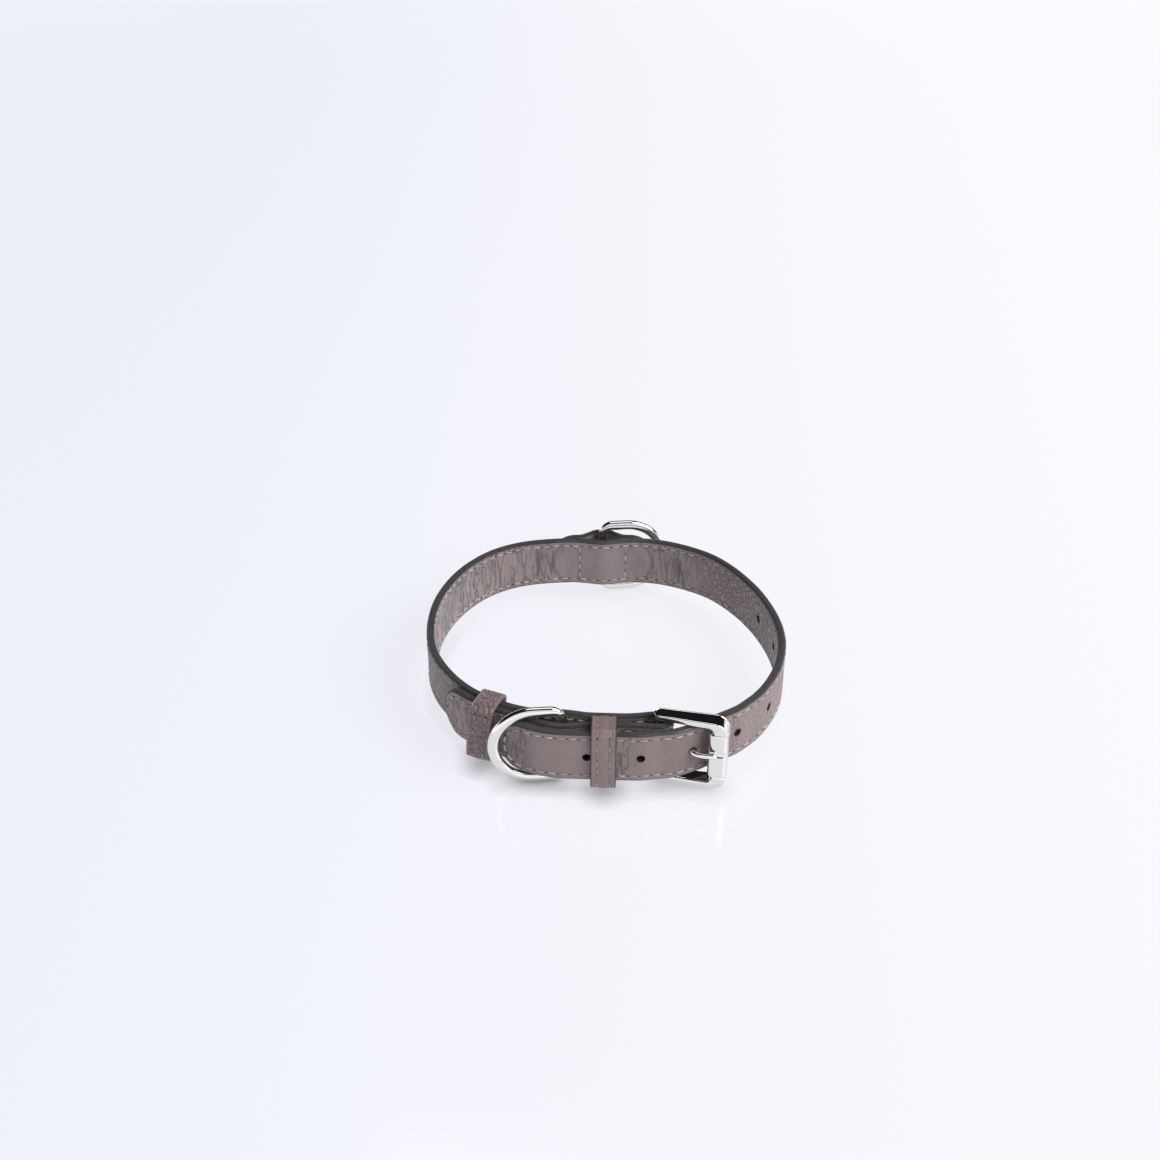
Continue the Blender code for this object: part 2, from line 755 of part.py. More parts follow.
def buckle_frame(parts, cutters):
    """The cast frame: rims, hinge bar and a thick outer bar with the prong's seat."""
    half = BUCKLE_HEIGHT / 2
    left = -BUCKLE_HEEL
    right = BUCKLE_LENGTH + OUTER_BAR_CORE / 2
    inside = half - BUCKLE_RIM
    window = BUCKLE_LENGTH - OUTER_BAR_CORE / 2
    outline = filleted(
        [
            (left, half, BUCKLE_END_ROUND),
            (right, half, BUCKLE_CORNER),
            (right, -half, BUCKLE_CORNER),
            (left, -half, BUCKLE_END_ROUND),
            (left, -inside, BUCKLE_END_ROUND),
            (window, -inside, BUCKLE_CORNER - BUCKLE_RIM),
            (window, inside, BUCKLE_CORNER - BUCKLE_RIM),
            (left, inside, BUCKLE_END_ROUND),
        ]
    )
    mesh = meshed(flat_curve("buckle_frame", [outline], BUCKLE_DEPTH), "buckle_frame")
    obj = metal("buckle_frame", mesh, parts)
    height = MIDDLE - BUCKLE_DROP
    centre = (*HINGE, height)
    obj.matrix_world = upright_axes(FRAME_ALONG, centre)
    rounding = obj.modifiers.new("edges", "BEVEL")
    rounding.width = EDGE_ROUND
    rounding.segments = 2
    rounding.limit_method = "ANGLE"
    hinge = cylinder(HINGE_BAR / 2, 2 * half - BUCKLE_RIM, 16, "hinge_bar")
    hinge_tool = cutter("hinge_bar", hinge, cutters)
    hinge_tool.location = centre
    join(obj, hinge_tool, "UNION")
    bar = cylinder(OUTER_BAR / 2, 2 * (inside - SHOULDER_INSET), 20, "outer_bar")
    bar_tool = cutter("outer_bar", bar, cutters)
    bar_tool.location = (*frame_place(BUCKLE_LENGTH, 0), height)
    join(obj, bar_tool, "UNION")
    seat = cylinder(PRONG_WIRE / 2 + CLEAR, OUTER_BAR, 12, "prong_seat")
    seat_tool = cutter("prong_seat", seat, cutters)
    start = frame_place(BUCKLE_LENGTH - OUTER_BAR / 2, PRONG_SEAT)
    seat_tool.matrix_world = plan_matrix(start, FRAME_ALONG, MIDDLE) @ Matrix.Rotation(
        math.pi / 2, 4, "Y"
    )
    join(obj, seat_tool, "DIFFERENCE")
    return obj


def prong(parts, cutters):
    """The pin: an eye round the hinge bar, and a shank that rests in the outer bar's seat."""
    line = prong_line(middle_line(neck_course()))
    points = [(x, y, MIDDLE) for x, y in line]
    mesh = meshed(wire_curve("prong", points, PRONG_WIRE, False), "prong")
    mesh.shade_smooth()
    obj = metal("prong", mesh, parts)
    angles = np.radians(np.arange(0, 360, 20))
    circle = [(EYE_RADIUS * math.cos(a), EYE_RADIUS * math.sin(a), 0) for a in angles]
    eye = meshed(wire_curve("prong_eye", circle, PRONG_WIRE, True), "prong_eye")
    eye_tool = cutter("prong_eye", eye, cutters)
    eye_tool.location = (*HINGE, MIDDLE)
    join(obj, eye_tool, "UNION")
    return obj


def main():
    """Builds the collar."""
    clear_scene()
    parts = bpy.data.collections.new("dog_collar")
    cutters = bpy.data.collections.new("cutters")
    for collection in (parts, cutters):
        bpy.context.scene.collection.children.link(collection)
    strap(parts, cutters)
    back_patch(parts)
    front_keeper(parts)
    side_keeper(parts)
    buckle_frame(parts, cutters)
    prong(parts, cutters)
    front_ring(parts)
    back_ring(parts)


main()
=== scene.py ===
"""Dog collar: the looks of a stitched leather strap with its pin buckle, keepers and D rings.

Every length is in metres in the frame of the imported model: +Z is up, the buckle is at the
front (-Y) and the origin is the middle of the collar on the floor. The strap's way round is
worked out from the same values as the solids, so each surface lies where its solid does.

Three coordinates are used on the leather. "Along" runs down a strip's length, "across" runs
over its width from the middle, and "depth" is the height over the middle of its thickness.
"""

import logging
import math
from dataclasses import dataclass, field
from enum import Enum
from typing import Callable

import bmesh
import bpy
import numpy as np
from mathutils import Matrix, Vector


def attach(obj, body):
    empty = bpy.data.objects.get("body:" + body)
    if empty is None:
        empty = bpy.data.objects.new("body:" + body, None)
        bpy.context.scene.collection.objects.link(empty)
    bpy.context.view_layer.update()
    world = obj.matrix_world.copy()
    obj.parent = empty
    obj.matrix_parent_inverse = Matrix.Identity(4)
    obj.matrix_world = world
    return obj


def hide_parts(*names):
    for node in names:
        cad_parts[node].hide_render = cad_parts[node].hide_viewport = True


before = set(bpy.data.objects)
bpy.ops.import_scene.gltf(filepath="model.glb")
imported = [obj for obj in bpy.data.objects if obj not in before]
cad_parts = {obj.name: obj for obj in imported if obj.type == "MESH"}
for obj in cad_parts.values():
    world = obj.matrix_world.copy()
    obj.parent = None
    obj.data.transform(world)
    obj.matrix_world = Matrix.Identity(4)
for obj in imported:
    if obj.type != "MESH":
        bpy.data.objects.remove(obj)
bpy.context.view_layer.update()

MM = 0.001

FRONT_KEEPER_TURN = 0.0022
SIDE_KEEPER_TURN = 0.1085
FRONT_RING_TURN = 0.039
PATCH_TURN = 0.4965
PATCH_SEAM = 8.85 * MM
PATCH_LENGTH = 40.0 * MM
STITCH_INSET = 2.3 * MM
PRONG_WIRE = 2.0 * MM
RING_BAR = 3.0 * MM
RING_PLAY = 0.5 * MM
FULL_TURN = 2 * math.pi

Array = np.ndarray
Relief = Callable[[Array, Array, Array], Array]

log = logging.getLogger("dog_collar")


# Numbers and lines


def lengths(points: Array) -> Array:
    """Distance along a line of points, one value a point: the running sum of its steps."""
    steps = np.linalg.norm(np.diff(points, axis=0), axis=1)
    return np.concatenate([[0.0], np.cumsum(steps)])


def unit(vectors: Array) -> Array:
    """The vectors scaled to a length of one."""
    return vectors / np.linalg.norm(vectors, axis=-1, keepdims=True)


def bump(value: Array, centre: float | Array, width: float | Array) -> Array:
    """A smooth hump of height one: e to the minus of the squared distance in widths."""
    return np.exp(-(((value - centre) / width) ** 2))


def ramp(value: Array, start: float, end: float) -> Array:
    """Zero before start, one after end, and the smooth cubic 3u^2 - 2u^3 between them."""
    u = np.clip((value - start) / (end - start), 0.0, 1.0)
    return u * u * (3 - 2 * u)


def spline(knots: Array, closed: bool = False, per_span: int = 16) -> Array:
    """The uniform cubic B-spline whose guides are solved so that it passes the knots.

    Args:
        knots: one row for each knot.
        closed: whether the last knot joins the first.
        per_span: even steps between two knots.

    Returns:
        The points of the spline, the first knot included twice when it is closed.
    """
    knots = np.asarray(knots, dtype=float)
    count = len(knots)
    weights = np.zeros((count, count))
    rows = np.arange(count)
    weights[rows, (rows - 1) % count] += 1 / 6
    weights[rows, rows] += 4 / 6
    weights[rows, (rows + 1) % count] += 1 / 6
    if not closed:
        weights[[0, -1]] = 0
        weights[0, 0] = weights[-1, -1] = 1
    guides = np.linalg.solve(weights, knots)
    if closed:
        guides = np.concatenate([guides[-1:], guides, guides[:2]])
    else:
        before = 2 * guides[:1] - guides[1:2]
        after = 2 * guides[-1:] - guides[-2:-1]
        guides = np.concatenate([before, guides, after, after])
    steps = np.arange((count if closed else count - 1) * per_span + 1) / per_span
    span = steps.astype(int)
    span[-1] -= 1
    u = (steps - span)[:, None]
    first, second, third, fourth = (guides[span + shift] for shift in range(4))
    return (
        (1 - u) ** 3 * first
        + (3 * u**3 - 6 * u**2 + 4) * second
        + (-3 * u**3 + 3 * u**2 + 3 * u + 1) * third
        + u**3 * fourth
    ) / 6


def softened(line: Array, step: float, reach: float) -> Array:
    """A line resampled in even steps and averaged with Gaussian weights, its ends kept.

    Args:
        line: points of the line.
        step: spacing of the new points.
        reach: standard deviation of the weights, as a distance along the line.

    Returns:
        The smoother line.
    """
    along = lengths(line)
    count = int(round(along[-1] / step)) + 1
    marks = np.linspace(0, along[-1], count)
    even = np.stack([np.interp(marks, along, line[:, axis]) for axis in range(line.shape[1])], -1)
    half = int(math.ceil(3 * reach / step))
    weights = bump(np.arange(-half, half + 1) * step, 0.0, reach * math.sqrt(2))
    weights /= weights.sum()
    before = 2 * even[0] - even[half:0:-1]
    after = 2 * even[-1] - even[-2 : -half - 2 : -1]
    padded = np.concatenate([before, even, after])
    columns = [np.convolve(padded[:, axis], weights, "valid") for axis in range(line.shape[1])]
    return np.stack(columns, -1)


class Waves:
    """Smooth seeded unevenness in two directions: a sum of sines of drawn slants and phases."""

    def __init__(self, seed: int, longest: float, shortest: float, count: int = 14) -> None:
        """Draws the sines.

        Args:
            seed: seed of the draw.
            longest: longest wave.
            shortest: shortest wave.
            count: number of sines.
        """
        draw = np.random.default_rng(seed)
        wave = np.geomspace(longest, shortest, count)
        slant = draw.uniform(0, math.pi, count)
        self.along = FULL_TURN / wave * np.cos(slant)
        self.across = FULL_TURN / wave * np.sin(slant)
        self.phase = draw.uniform(0, FULL_TURN, count)
        self.share = wave / np.abs(wave).sum()

    def at(self, along: Array, across: Array) -> Array:
        """Height of about minus one to one: each sine weighted by the length of its wave."""
        total = np.zeros(np.broadcast(along, across).shape)
        for k_along, k_across, phase, share in zip(self.along, self.across, self.phase, self.share):
            total += share * np.sin(k_along * along + k_across * across + phase)
        return total * 2.2


# Meshes


class Cut(Enum):
    """What a closed tool does to the piece that it meets."""

    AWAY = "DIFFERENCE"
    JOIN = "UNION"


def grid_faces(rows: int, columns: int, wrap_rows: bool, wrap_columns: bool) -> Array:
    """Quads between neighbours of a grid of points numbered row by row.

    Args:
        rows: number of rows.
        columns: number of points in a row.
        wrap_rows: whether the last row joins the first.
        wrap_columns: whether the last point of a row joins its first.

    Returns:
        One row of four point numbers for each quad.
    """
    row = np.arange(rows if wrap_rows else rows - 1)[:, None]
    column = np.arange(columns if wrap_columns else columns - 1)[None, :]
    next_row = (row + 1) % rows
    next_column = (column + 1) % columns
    corners = [
        row * columns + column,
        next_row * columns + column,
        next_row * columns + next_column,
        row * columns + next_column,
    ]
    return np.stack([np.broadcast_to(c, (row.size, column.size)) for c in corners], -1).reshape(-1, 4)


def mesh_of(name: str, points: Array, faces: list[tuple[int, ...]]) -> bpy.types.Mesh:
    """A mesh of points and faces."""
    mesh = bpy.data.meshes.new(name)
    mesh.from_pydata(points.reshape(-1, 3).tolist(), [], faces)
    mesh.update()
    return mesh


def closed_mesh(mesh: bpy.types.Mesh, merge: float = 0.0) -> bpy.types.Mesh:
    """Merges the doubles of a closed mesh and turns its faces outwards.

    Args:
        mesh: the mesh to finish.
        merge: distance under which points are one, or zero to leave them.

    Returns:
        The same mesh.
    """
    shape = bmesh.new()
    shape.from_mesh(mesh)
    if merge:
        bmesh.ops.remove_doubles(shape, verts=shape.verts, dist=merge)
        bmesh.ops.dissolve_degenerate(shape, edges=shape.edges, dist=merge)
    bmesh.ops.recalc_face_normals(shape, faces=shape.faces)
    if shape.calc_volume(signed=True) < 0:
        bmesh.ops.reverse_faces(shape, faces=shape.faces)
    shape.to_mesh(mesh)
    shape.free()
    mesh.shade_smooth()
    return mesh


def lofted(name: str, rows: Array, wrap: bool) -> bpy.types.Mesh:
    """The closed skin over rows of points, each row a closed section.

    Args:
        name: name of the mesh.
        rows: points by row, by place in the section.
        wrap: whether the last row joins the first. Otherwise a face closes each end.

    Returns:
        The mesh.
    """
    count, around = rows.shape[:2]
    faces = [tuple(face) for face in grid_faces(count, around, wrap, True).tolist()]
    if not wrap:
        faces.append(tuple(range(around)))
        faces.append(tuple(range((count - 1) * around, count * around)))
    return closed_mesh(mesh_of(name, rows, faces))


def add_object(name: str, mesh: bpy.types.Mesh) -> bpy.types.Object:
    """An object at the origin that shows the mesh."""
    obj = bpy.data.objects.new(name, mesh)
    bpy.context.scene.collection.objects.link(obj)
    return obj


def set_value(mesh: bpy.types.Mesh, name: str, values: Array) -> None:
    """Writes one number a point into an attribute of the mesh."""
    attribute = mesh.attributes.new(name, "FLOAT", "POINT")
    attribute.data.foreach_set("value", values.astype(np.float32).ravel())


def read_value(mesh: bpy.types.Mesh, name: str) -> Array:
    """Reads one number a point from an attribute of the mesh."""
    values = np.empty(len(mesh.vertices), np.float32)
    mesh.attributes[name].data.foreach_get("value", values)
    return values.astype(float)


def plain_values(mesh: bpy.types.Mesh, tone: float, wrinkled: float, creased: float) -> None:
    """Writes the same tone and wrinkles at every point, and no hollows.

    Args:
        mesh: mesh of a leather piece.
        tone: how much lighter its dye is than the finish's.
        wrinkled: how strong its pebbled wrinkles are.
        creased: how strong its fine cross creases are.
    """
    ones = np.ones(len(mesh.vertices))
    values = {"tone": tone, "wrinkled": wrinkled, "creased": creased, "hollow": 0.0}
    for name, value in values.items():
        set_value(mesh, name, value * ones)


def cut(obj: bpy.types.Object, tool: bpy.types.Object, operation: Cut) -> None:
    """Applies a Boolean with a closed tool, which is then removed.

    Args:
        obj: the object that is changed.
        tool: the closed object to cut or join with.
        operation: what the tool does.
    """
    boolean = obj.modifiers.new("cut", "BOOLEAN")
    boolean.operation = operation.value
    boolean.solver = "MANIFOLD"
    boolean.object = tool
    graph = bpy.context.evaluated_depsgraph_get()
    mesh = bpy.data.meshes.new_from_object(obj.evaluated_get(graph), depsgraph=graph)
    mesh.name = obj.data.name
    obj.modifiers.clear()
    obj.data = mesh
    bpy.data.objects.remove(tool)


def sharpened(obj: bpy.types.Object, degrees: float) -> None:
    """Keeps edges that turn by more than an angle sharp in the smooth shading."""
    obj.data.shade_smooth()
    obj.data.set_sharp_from_angle(angle=math.radians(degrees))


def joined(name: str, shells: list[bpy.types.Mesh]) -> bpy.types.Mesh:
    """One mesh that holds several closed shells.

    Args:
        name: name of the mesh.
        shells: the shells, which may run into each other.

    Returns:
        The mesh.
    """
    whole = bmesh.new()
    for shell in shells:
        whole.from_mesh(shell)
    mesh = bpy.data.meshes.new(name)
    whole.to_mesh(mesh)
    whole.free()
    return mesh


def tube(name: str, first: Array, last: Array, radius: float, around: int = 40) -> bpy.types.Mesh:
    """A closed cylinder between two points.

    Args:
        name: name of the mesh.
        first: middle of one end.
        last: middle of the other end.
        radius: radius of the cylinder.
        around: points round it.

    Returns:
        The mesh.
    """
    axis = unit(last - first)
    slanted = [0.31, 0.17, 0.93]
    side = unit(np.cross(axis, slanted))
    other = np.cross(axis, side)
    angle = np.linspace(0, FULL_TURN, around, endpoint=False)[:, None]
    ring = radius * (np.cos(angle) * side + np.sin(angle) * other)
    return lofted(name, np.stack([first + ring, last + ring]), wrap=False)


# The strap's way round, from the same values as the solids


@dataclass
class NeckLoop:
    """Inner face of the loop that the neck goes through, in plan.

    A turn is a share of the loop's length from the middle of the front towards -X, and an
    offset is a height over the inner face.
    """

    width: float = 123.7 * MM
    depth: float = 105.9 * MM
    reach: float = 0.5 * MM
    outline: tuple[tuple[float, float], ...] = (
        (0.000, -0.963),
        (-0.259, -0.942),
        (-0.501, -0.876),
        (-0.723, -0.720),
        (-0.876, -0.506),
        (-0.970, -0.270),
        (-1.000, 0.000),
        (-0.977, 0.287),
        (-0.886, 0.585),
        (-0.724, 0.835),
        (-0.493, 0.988),
        (-0.194, 1.035),
        (0.081, 1.037),
        (0.323, 1.018),
        (0.542, 0.916),
        (0.719, 0.752),
        (0.883, 0.448),
        (0.975, 0.130),
        (1.000, -0.151),
        (0.964, -0.419),
        (0.892, -0.618),
        (0.770, -0.812),
        (0.550, -0.937),
        (0.275, -0.969),
    )

    def __post_init__(self) -> None:
        """Works out the closed spline through the outline's knots and its length."""
        self.line = spline(np.array(self.outline) * (self.width / 2, self.depth / 2), closed=True)
        self.marks = lengths(self.line)
        self.length = float(self.marks[-1])

    def point(self, turn: Array) -> Array:
        """Plan points of the inner face at turns."""
        along = np.mod(turn, 1) * self.length
        return np.stack([np.interp(along, self.marks, self.line[:, axis]) for axis in (0, 1)], -1)

    def heading(self, turn: Array) -> Array:
        """Plan directions of the inner face at turns: the chord over a short reach."""
        reach = self.reach / self.length
        return unit(self.point(turn + reach) - self.point(turn - reach))

    def outward(self, turn: Array) -> Array:
        """Plan directions away from the neck at turns: the heading turned to the left."""
        along = self.heading(turn)
        return np.stack([-along[..., 1], along[..., 0]], axis=-1)

    def place(self, turn: Array | float, offset: Array | float) -> Array:
        """Plan points at turns and offsets: the inner face moved outwards by the offset."""
        turn = np.asarray(turn, dtype=float)
        return self.point(turn) + self.outward(turn) * np.asarray(offset, dtype=float)[..., None]

    def eased(self, rows: list[tuple[float, float]], step: float = 0.4 * MM) -> Array:
        """Close rows of turn and offset on a cubic that never swings past the rows given.

        The slope at a row is the harmonic mean of the straight slopes on both sides, and
        level at a peak, a dip and both ends.

        Args:
            rows: turn and offset of each row.
            step: spacing of the close rows along the loop.

        Returns:
            Turn and offset of each close row.
        """
        turns, offsets = np.array(sorted(rows)).T
        spans = np.diff(turns)
        straight = np.diff(offsets) / spans
        slopes = np.zeros(len(turns))
        same_way = np.flatnonzero(straight[:-1] * straight[1:] > 0)
        both = 1 / straight[same_way] + 1 / straight[same_way + 1]
        slopes[same_way + 1] = 2 / both
        count = math.ceil((turns[-1] - turns[0]) * self.length / step)
        fine = np.linspace(turns[0], turns[-1], count + 1)
        span = np.clip(np.searchsorted(turns, fine, side="right") - 1, 0, len(spans) - 1)
        u = (fine - turns[span]) / spans[span]
        fine_offsets = (
            (1 + 2 * u) * (1 - u) ** 2 * offsets[span]
            + u**2 * (3 - 2 * u) * offsets[span + 1]
            + u * (1 - u) ** 2 * spans[span] * slopes[span]
            - u**2 * (1 - u) * spans[span] * slopes[span + 1]
        )
        return np.stack([fine, fine_offsets], axis=-1)


@dataclass
class StrapWay:
    """The strip's way: folded layer, fold round the hinge bar, once round the neck, tail."""

    loop: NeckLoop
    width: float = 20.0 * MM
    thick: float = 2.75 * MM
    clear: float = 0.3 * MM
    keeper_thick: float = 1.2 * MM
    hinge_turn: float = -0.0468
    hinge_dip: float = 1.3 * MM
    hinge_bar: float = 3.2 * MM
    folded_end: float = 0.1545
    buckle_length: float = 20.3 * MM
    tail_reach: float = 47.9 * MM
    tail_extra: float = 3.4 * MM
    middle: float = 17.0 * MM
    fold_approach: tuple[float, float] = (0.667, 0.75)
    folded_rows: tuple[tuple[float, float, float], ...] = (
        (0.170, 1.0, 0.30),
        (0.147, 1.0, 0.30),
        (0.120, 1.0, 0.25),
        (0.095, 1.0, 0.35),
        (0.070, 1.0, 0.90),
        (0.055, 1.0, 1.50),
        (0.046, 1.0, 1.92),
        (0.039, 1.0, 2.00),
        (0.032, 1.0, 1.90),
        (0.020, 1.0, 1.30),
        (0.008, 1.0, 1.02),
        (-0.004, 1.0, 1.00),
        (-0.016, 1.0, 1.00),
    )
    base_rows: tuple[tuple[float, float, float], ...] = (
        (-0.036, 0.0, -0.50),
        (-0.026, 0.0, -0.18),
        (-0.014, 0.0, 0.00),
        (0.000, 0.0, 0.00),
        (0.018, 0.0, -0.06),
        (0.029, 0.0, -0.38),
        (0.039, 0.0, -0.55),
        (0.049, 0.0, -0.38),
        (0.062, 0.0, -0.06),
        (0.080, 0.0, 0.00),
        (0.200, 0.0, 0.00),
        (0.330, 0.0, 0.00),
        (0.440, 0.0, 0.00),
        (0.466, 0.0, 0.00),
        (0.479, 0.0, -0.35),
        (0.4965, 0.0, -0.95),
        (0.514, 0.0, -0.35),
        (0.527, 0.0, 0.00),
        (0.560, 0.0, 0.00),
        (0.700, 0.0, 0.00),
        (0.830, 0.0, 0.00),
    )
    over_buckle_rows: tuple[tuple[float, float, float], ...] = (
        (1.90, 0.00, 0.00),
        (1.60, 0.00, 0.06),
        (1.45, 0.00, 0.26),
        (1.28, 0.10, 0.50),
        (1.11, 0.25, 0.55),
        (0.88, 0.50, 0.72),
        (0.46, 1.00, 1.92),
        (0.14, 1.75, 1.95),
        (0.00, 1.92, 1.80),
    )
    tail_rows: tuple[tuple[float, float, float], ...] = (
        (0.072, 2.00, 2.00),
        (0.144, 2.00, 2.26),
        (0.254, 2.00, 2.20),
        (0.381, 2.00, 2.14),
        (0.530, 2.00, 2.20),
        (0.678, 2.00, 2.30),
        (0.805, 2.00, 2.05),
        (0.911, 1.95, 1.50),
        (1.017, 1.90, 0.95),
        (1.085, 1.90, 0.62),
    )

    def __post_init__(self) -> None:
        """Works out the hinge, the courses and the strip's whole middle line."""
        self.fold_radius = self.hinge_bar / 2 + self.clear + self.thick / 2
        self.hinge_offset = self.thick / 2 + self.fold_radius - self.hinge_dip
        self.hinge = self.loop.place(self.hinge_turn, self.hinge_offset)
        self.folded = self._folded_course()
        self.neck = self._neck_course()
        folded_line = self.middle_line(self.folded)
        fold = self._fold_line()
        neck_line = self.middle_line(self.neck)
        rough = np.concatenate([folded_line, fold, neck_line])
        self.neck_start = lengths(np.concatenate([folded_line, fold, neck_line[:1]]))[-1]
        self.neck_marks = self.neck_start + lengths(neck_line)
        self.rough_length = float(lengths(rough)[-1])
        self.line = softened(rough, step=0.25 * MM, reach=0.7 * MM)
        self.length = float(lengths(self.line)[-1])

    def offset(self, layers: float, gaps: float) -> float:
        """Offset of a layer's inner face, from whole layers and keeper gaps."""
        return layers * self.thick + gaps * (self.keeper_thick + 2 * self.clear)

    def tail_turn(self, past: float) -> float:
        """Turn of a place of the tail that lies this far past the hinge."""
        return 1 + self.hinge_turn + past / self.loop.length

    def _folded_course(self) -> Array:
        """Close rows of the folded layer, from its rounded end to the hinge."""
        rows = [(turn, self.offset(layers, gaps)) for turn, layers, gaps in self.folded_rows]
        at_hinge = (self.hinge_turn, self.hinge_offset + self.fold_radius - self.thick / 2)
        near_hinge = tuple(
            last + share * (hinge - last)
            for last, hinge, share in zip(rows[-1], at_hinge, self.fold_approach)
        )
        course = self.loop.eased([*rows, near_hinge, at_hinge])[::-1]
        return course[course[:, 0] <= self.folded_end]

    def _fold_line(self) -> Array:
        """The half circle round the hinge bar, from the folded layer to the base."""
        turn = np.asarray(self.hinge_turn)
        along = self.loop.heading(turn)
        outward = self.loop.outward(turn)
        angles = np.linspace(0, math.pi, 40)[1:-1, None]
        return self.hinge + self.fold_radius * (np.cos(angles) * outward - np.sin(angles) * along)

    def _neck_course(self) -> Array:
        """Close rows from the hinge bar round the neck and on to the tail's tip."""
        rows = [(self.hinge_turn, -self.hinge_dip)]
        rows += [(turn, self.offset(layers, gaps)) for turn, layers, gaps in self.base_rows]
        for back, layers, gaps in self.over_buckle_rows:
            rows.append((self.tail_turn(-back * self.buckle_length), self.offset(layers, gaps)))
        for past, layers, gaps in self.tail_rows:
            rows.append((self.tail_turn(past * self.tail_reach), self.offset(layers, gaps)))
        course = self.loop.eased(rows)
        return course[course[:, 0] <= self.tail_turn(self.tail_reach + self.tail_extra)]

    def middle_line(self, course: Array) -> Array:
        """Plan line of the middle of a layer's thickness: half a thickness over the course."""
        return self.loop.place(course[:, 0], course[:, 1] + self.thick / 2)

    def outer_offset(self, course: Array, turn: float, width: float) -> float:
        """Offset of a layer's outer face at its furthest out, over a width round a turn."""
        near = np.abs(course[:, 0] - turn) <= width / 2 / self.loop.length
        return float(course[near, 1].max() + self.thick)

    def neck_along(self, turn: float) -> float:
        """Distance along the whole strip of a turn of the neck course."""
        share = self.length / self.rough_length
        return float(np.interp(turn, self.neck[:, 0], self.neck_marks)) * share


# Leather strips


class Path:
    """A line that carries a strip: its points, outward normals and one across direction."""

    def __init__(self, points: Array, normals: Array, across: Array, closed: bool) -> None:
        """Keeps the line and measures it.

        Args:
            points: points of the strip's middle, the first one repeated when it is closed.
            normals: outward direction at each point.
            across: direction of the strip's width.
            closed: whether the line is a ring.
        """
        self.points = points
        self.normals = normals
        self.across = np.asarray(across, dtype=float)
        self.closed = closed
        self.marks = lengths(points)
        self.length = float(self.marks[-1])

    @classmethod
    def in_plan(cls, line: Array, height: float) -> "Path":
        """An open path over a plan line, its across direction straight up.

        Args:
            line: plan points.
            height: height of the strip's middle.

        Returns:
            The path. Its normals are the line's directions turned to the left.
        """
        points = np.column_stack([line, np.full(len(line), height)])
        ahead = unit(np.gradient(line, axis=0))
        normals = np.column_stack([-ahead[:, 1], ahead[:, 0], np.zeros(len(line))])
        return cls(points, normals, np.array([0.0, 0.0, 1.0]), closed=False)

    def sample(self, values: Array, along: Array) -> Array:
        """Values kept at the line's points, read between them at distances along it."""
        if self.closed:
            along = np.mod(along, self.length)
        return np.stack([np.interp(along, self.marks, values[:, axis]) for axis in range(3)], -1)

    def at(self, along: Array, across: Array, depth: Array) -> tuple[Array, Array]:
        """Points of the strip: the line, plus the normal times depth, plus the width's part.

        Args:
            along: distances along the line.
            across: distances over the width from its middle.
            depth: heights over the middle of the thickness.

        Returns:
            The points and the outward normals there.
        """
        normal = unit(self.sample(self.normals, along))
        base = self.sample(self.points, along)
        return base + normal * depth[..., None] + self.across * across[..., None], normal


@dataclass(frozen=True)
class Rim:
    """Cross-section of a strip: two flat faces joined by rounded rims."""

    thick: float
    radius: float
    shares: tuple[float, ...]

    def columns(self) -> tuple[Array, Array, Array]:
        """Places in order round the section.

        The rim is a quarter circle at each edge: depth goes with the cosine and the inset
        from the outline with one minus the sine of its angle.

        Returns:
            Depth over the middle, inset from the outline, and share of the half width.
        """
        face = np.array(self.shares)
        angle = np.radians([22.5, 45.0, 67.5, 90.0])
        rim_depth = self.thick / 2 - self.radius + self.radius * np.cos(angle)
        rim_inset = self.radius * (1 - np.sin(angle))
        flat = np.full(len(face), self.thick / 2)
        depth = [flat, rim_depth, -rim_depth[::-1], -flat, -rim_depth, rim_depth[::-1]]
        inset = [np.full(len(face), self.radius), rim_inset, rim_inset[::-1]]
        low = np.full(len(angle), -1.0)
        share = [face, low, low, -face, -low, -low]
        return np.concatenate(depth), np.concatenate(inset * 2), np.concatenate(share)


def face_shares(fine: float, half_count: int = 13, stitched: float = 0.865) -> tuple[float, ...]:
    """Places over a face from one edge to the other, closer together near the stitches.

    Args:
        fine: spacing near the stitches, as a share of the half width.
        half_count: places between the middle and the edge.
        stitched: share of the half width at which the stitches run.

    Returns:
        Shares from 1 to -1, the same on both sides of the middle.
    """
    near = np.arange(1.0, stitched - 2.5 * fine, -fine)
    rest = np.linspace(near[-1], 0.0, half_count - len(near) + 1)[1:]
    half = np.concatenate([near, rest])
    return tuple(np.concatenate([half, -half[-2::-1]]))


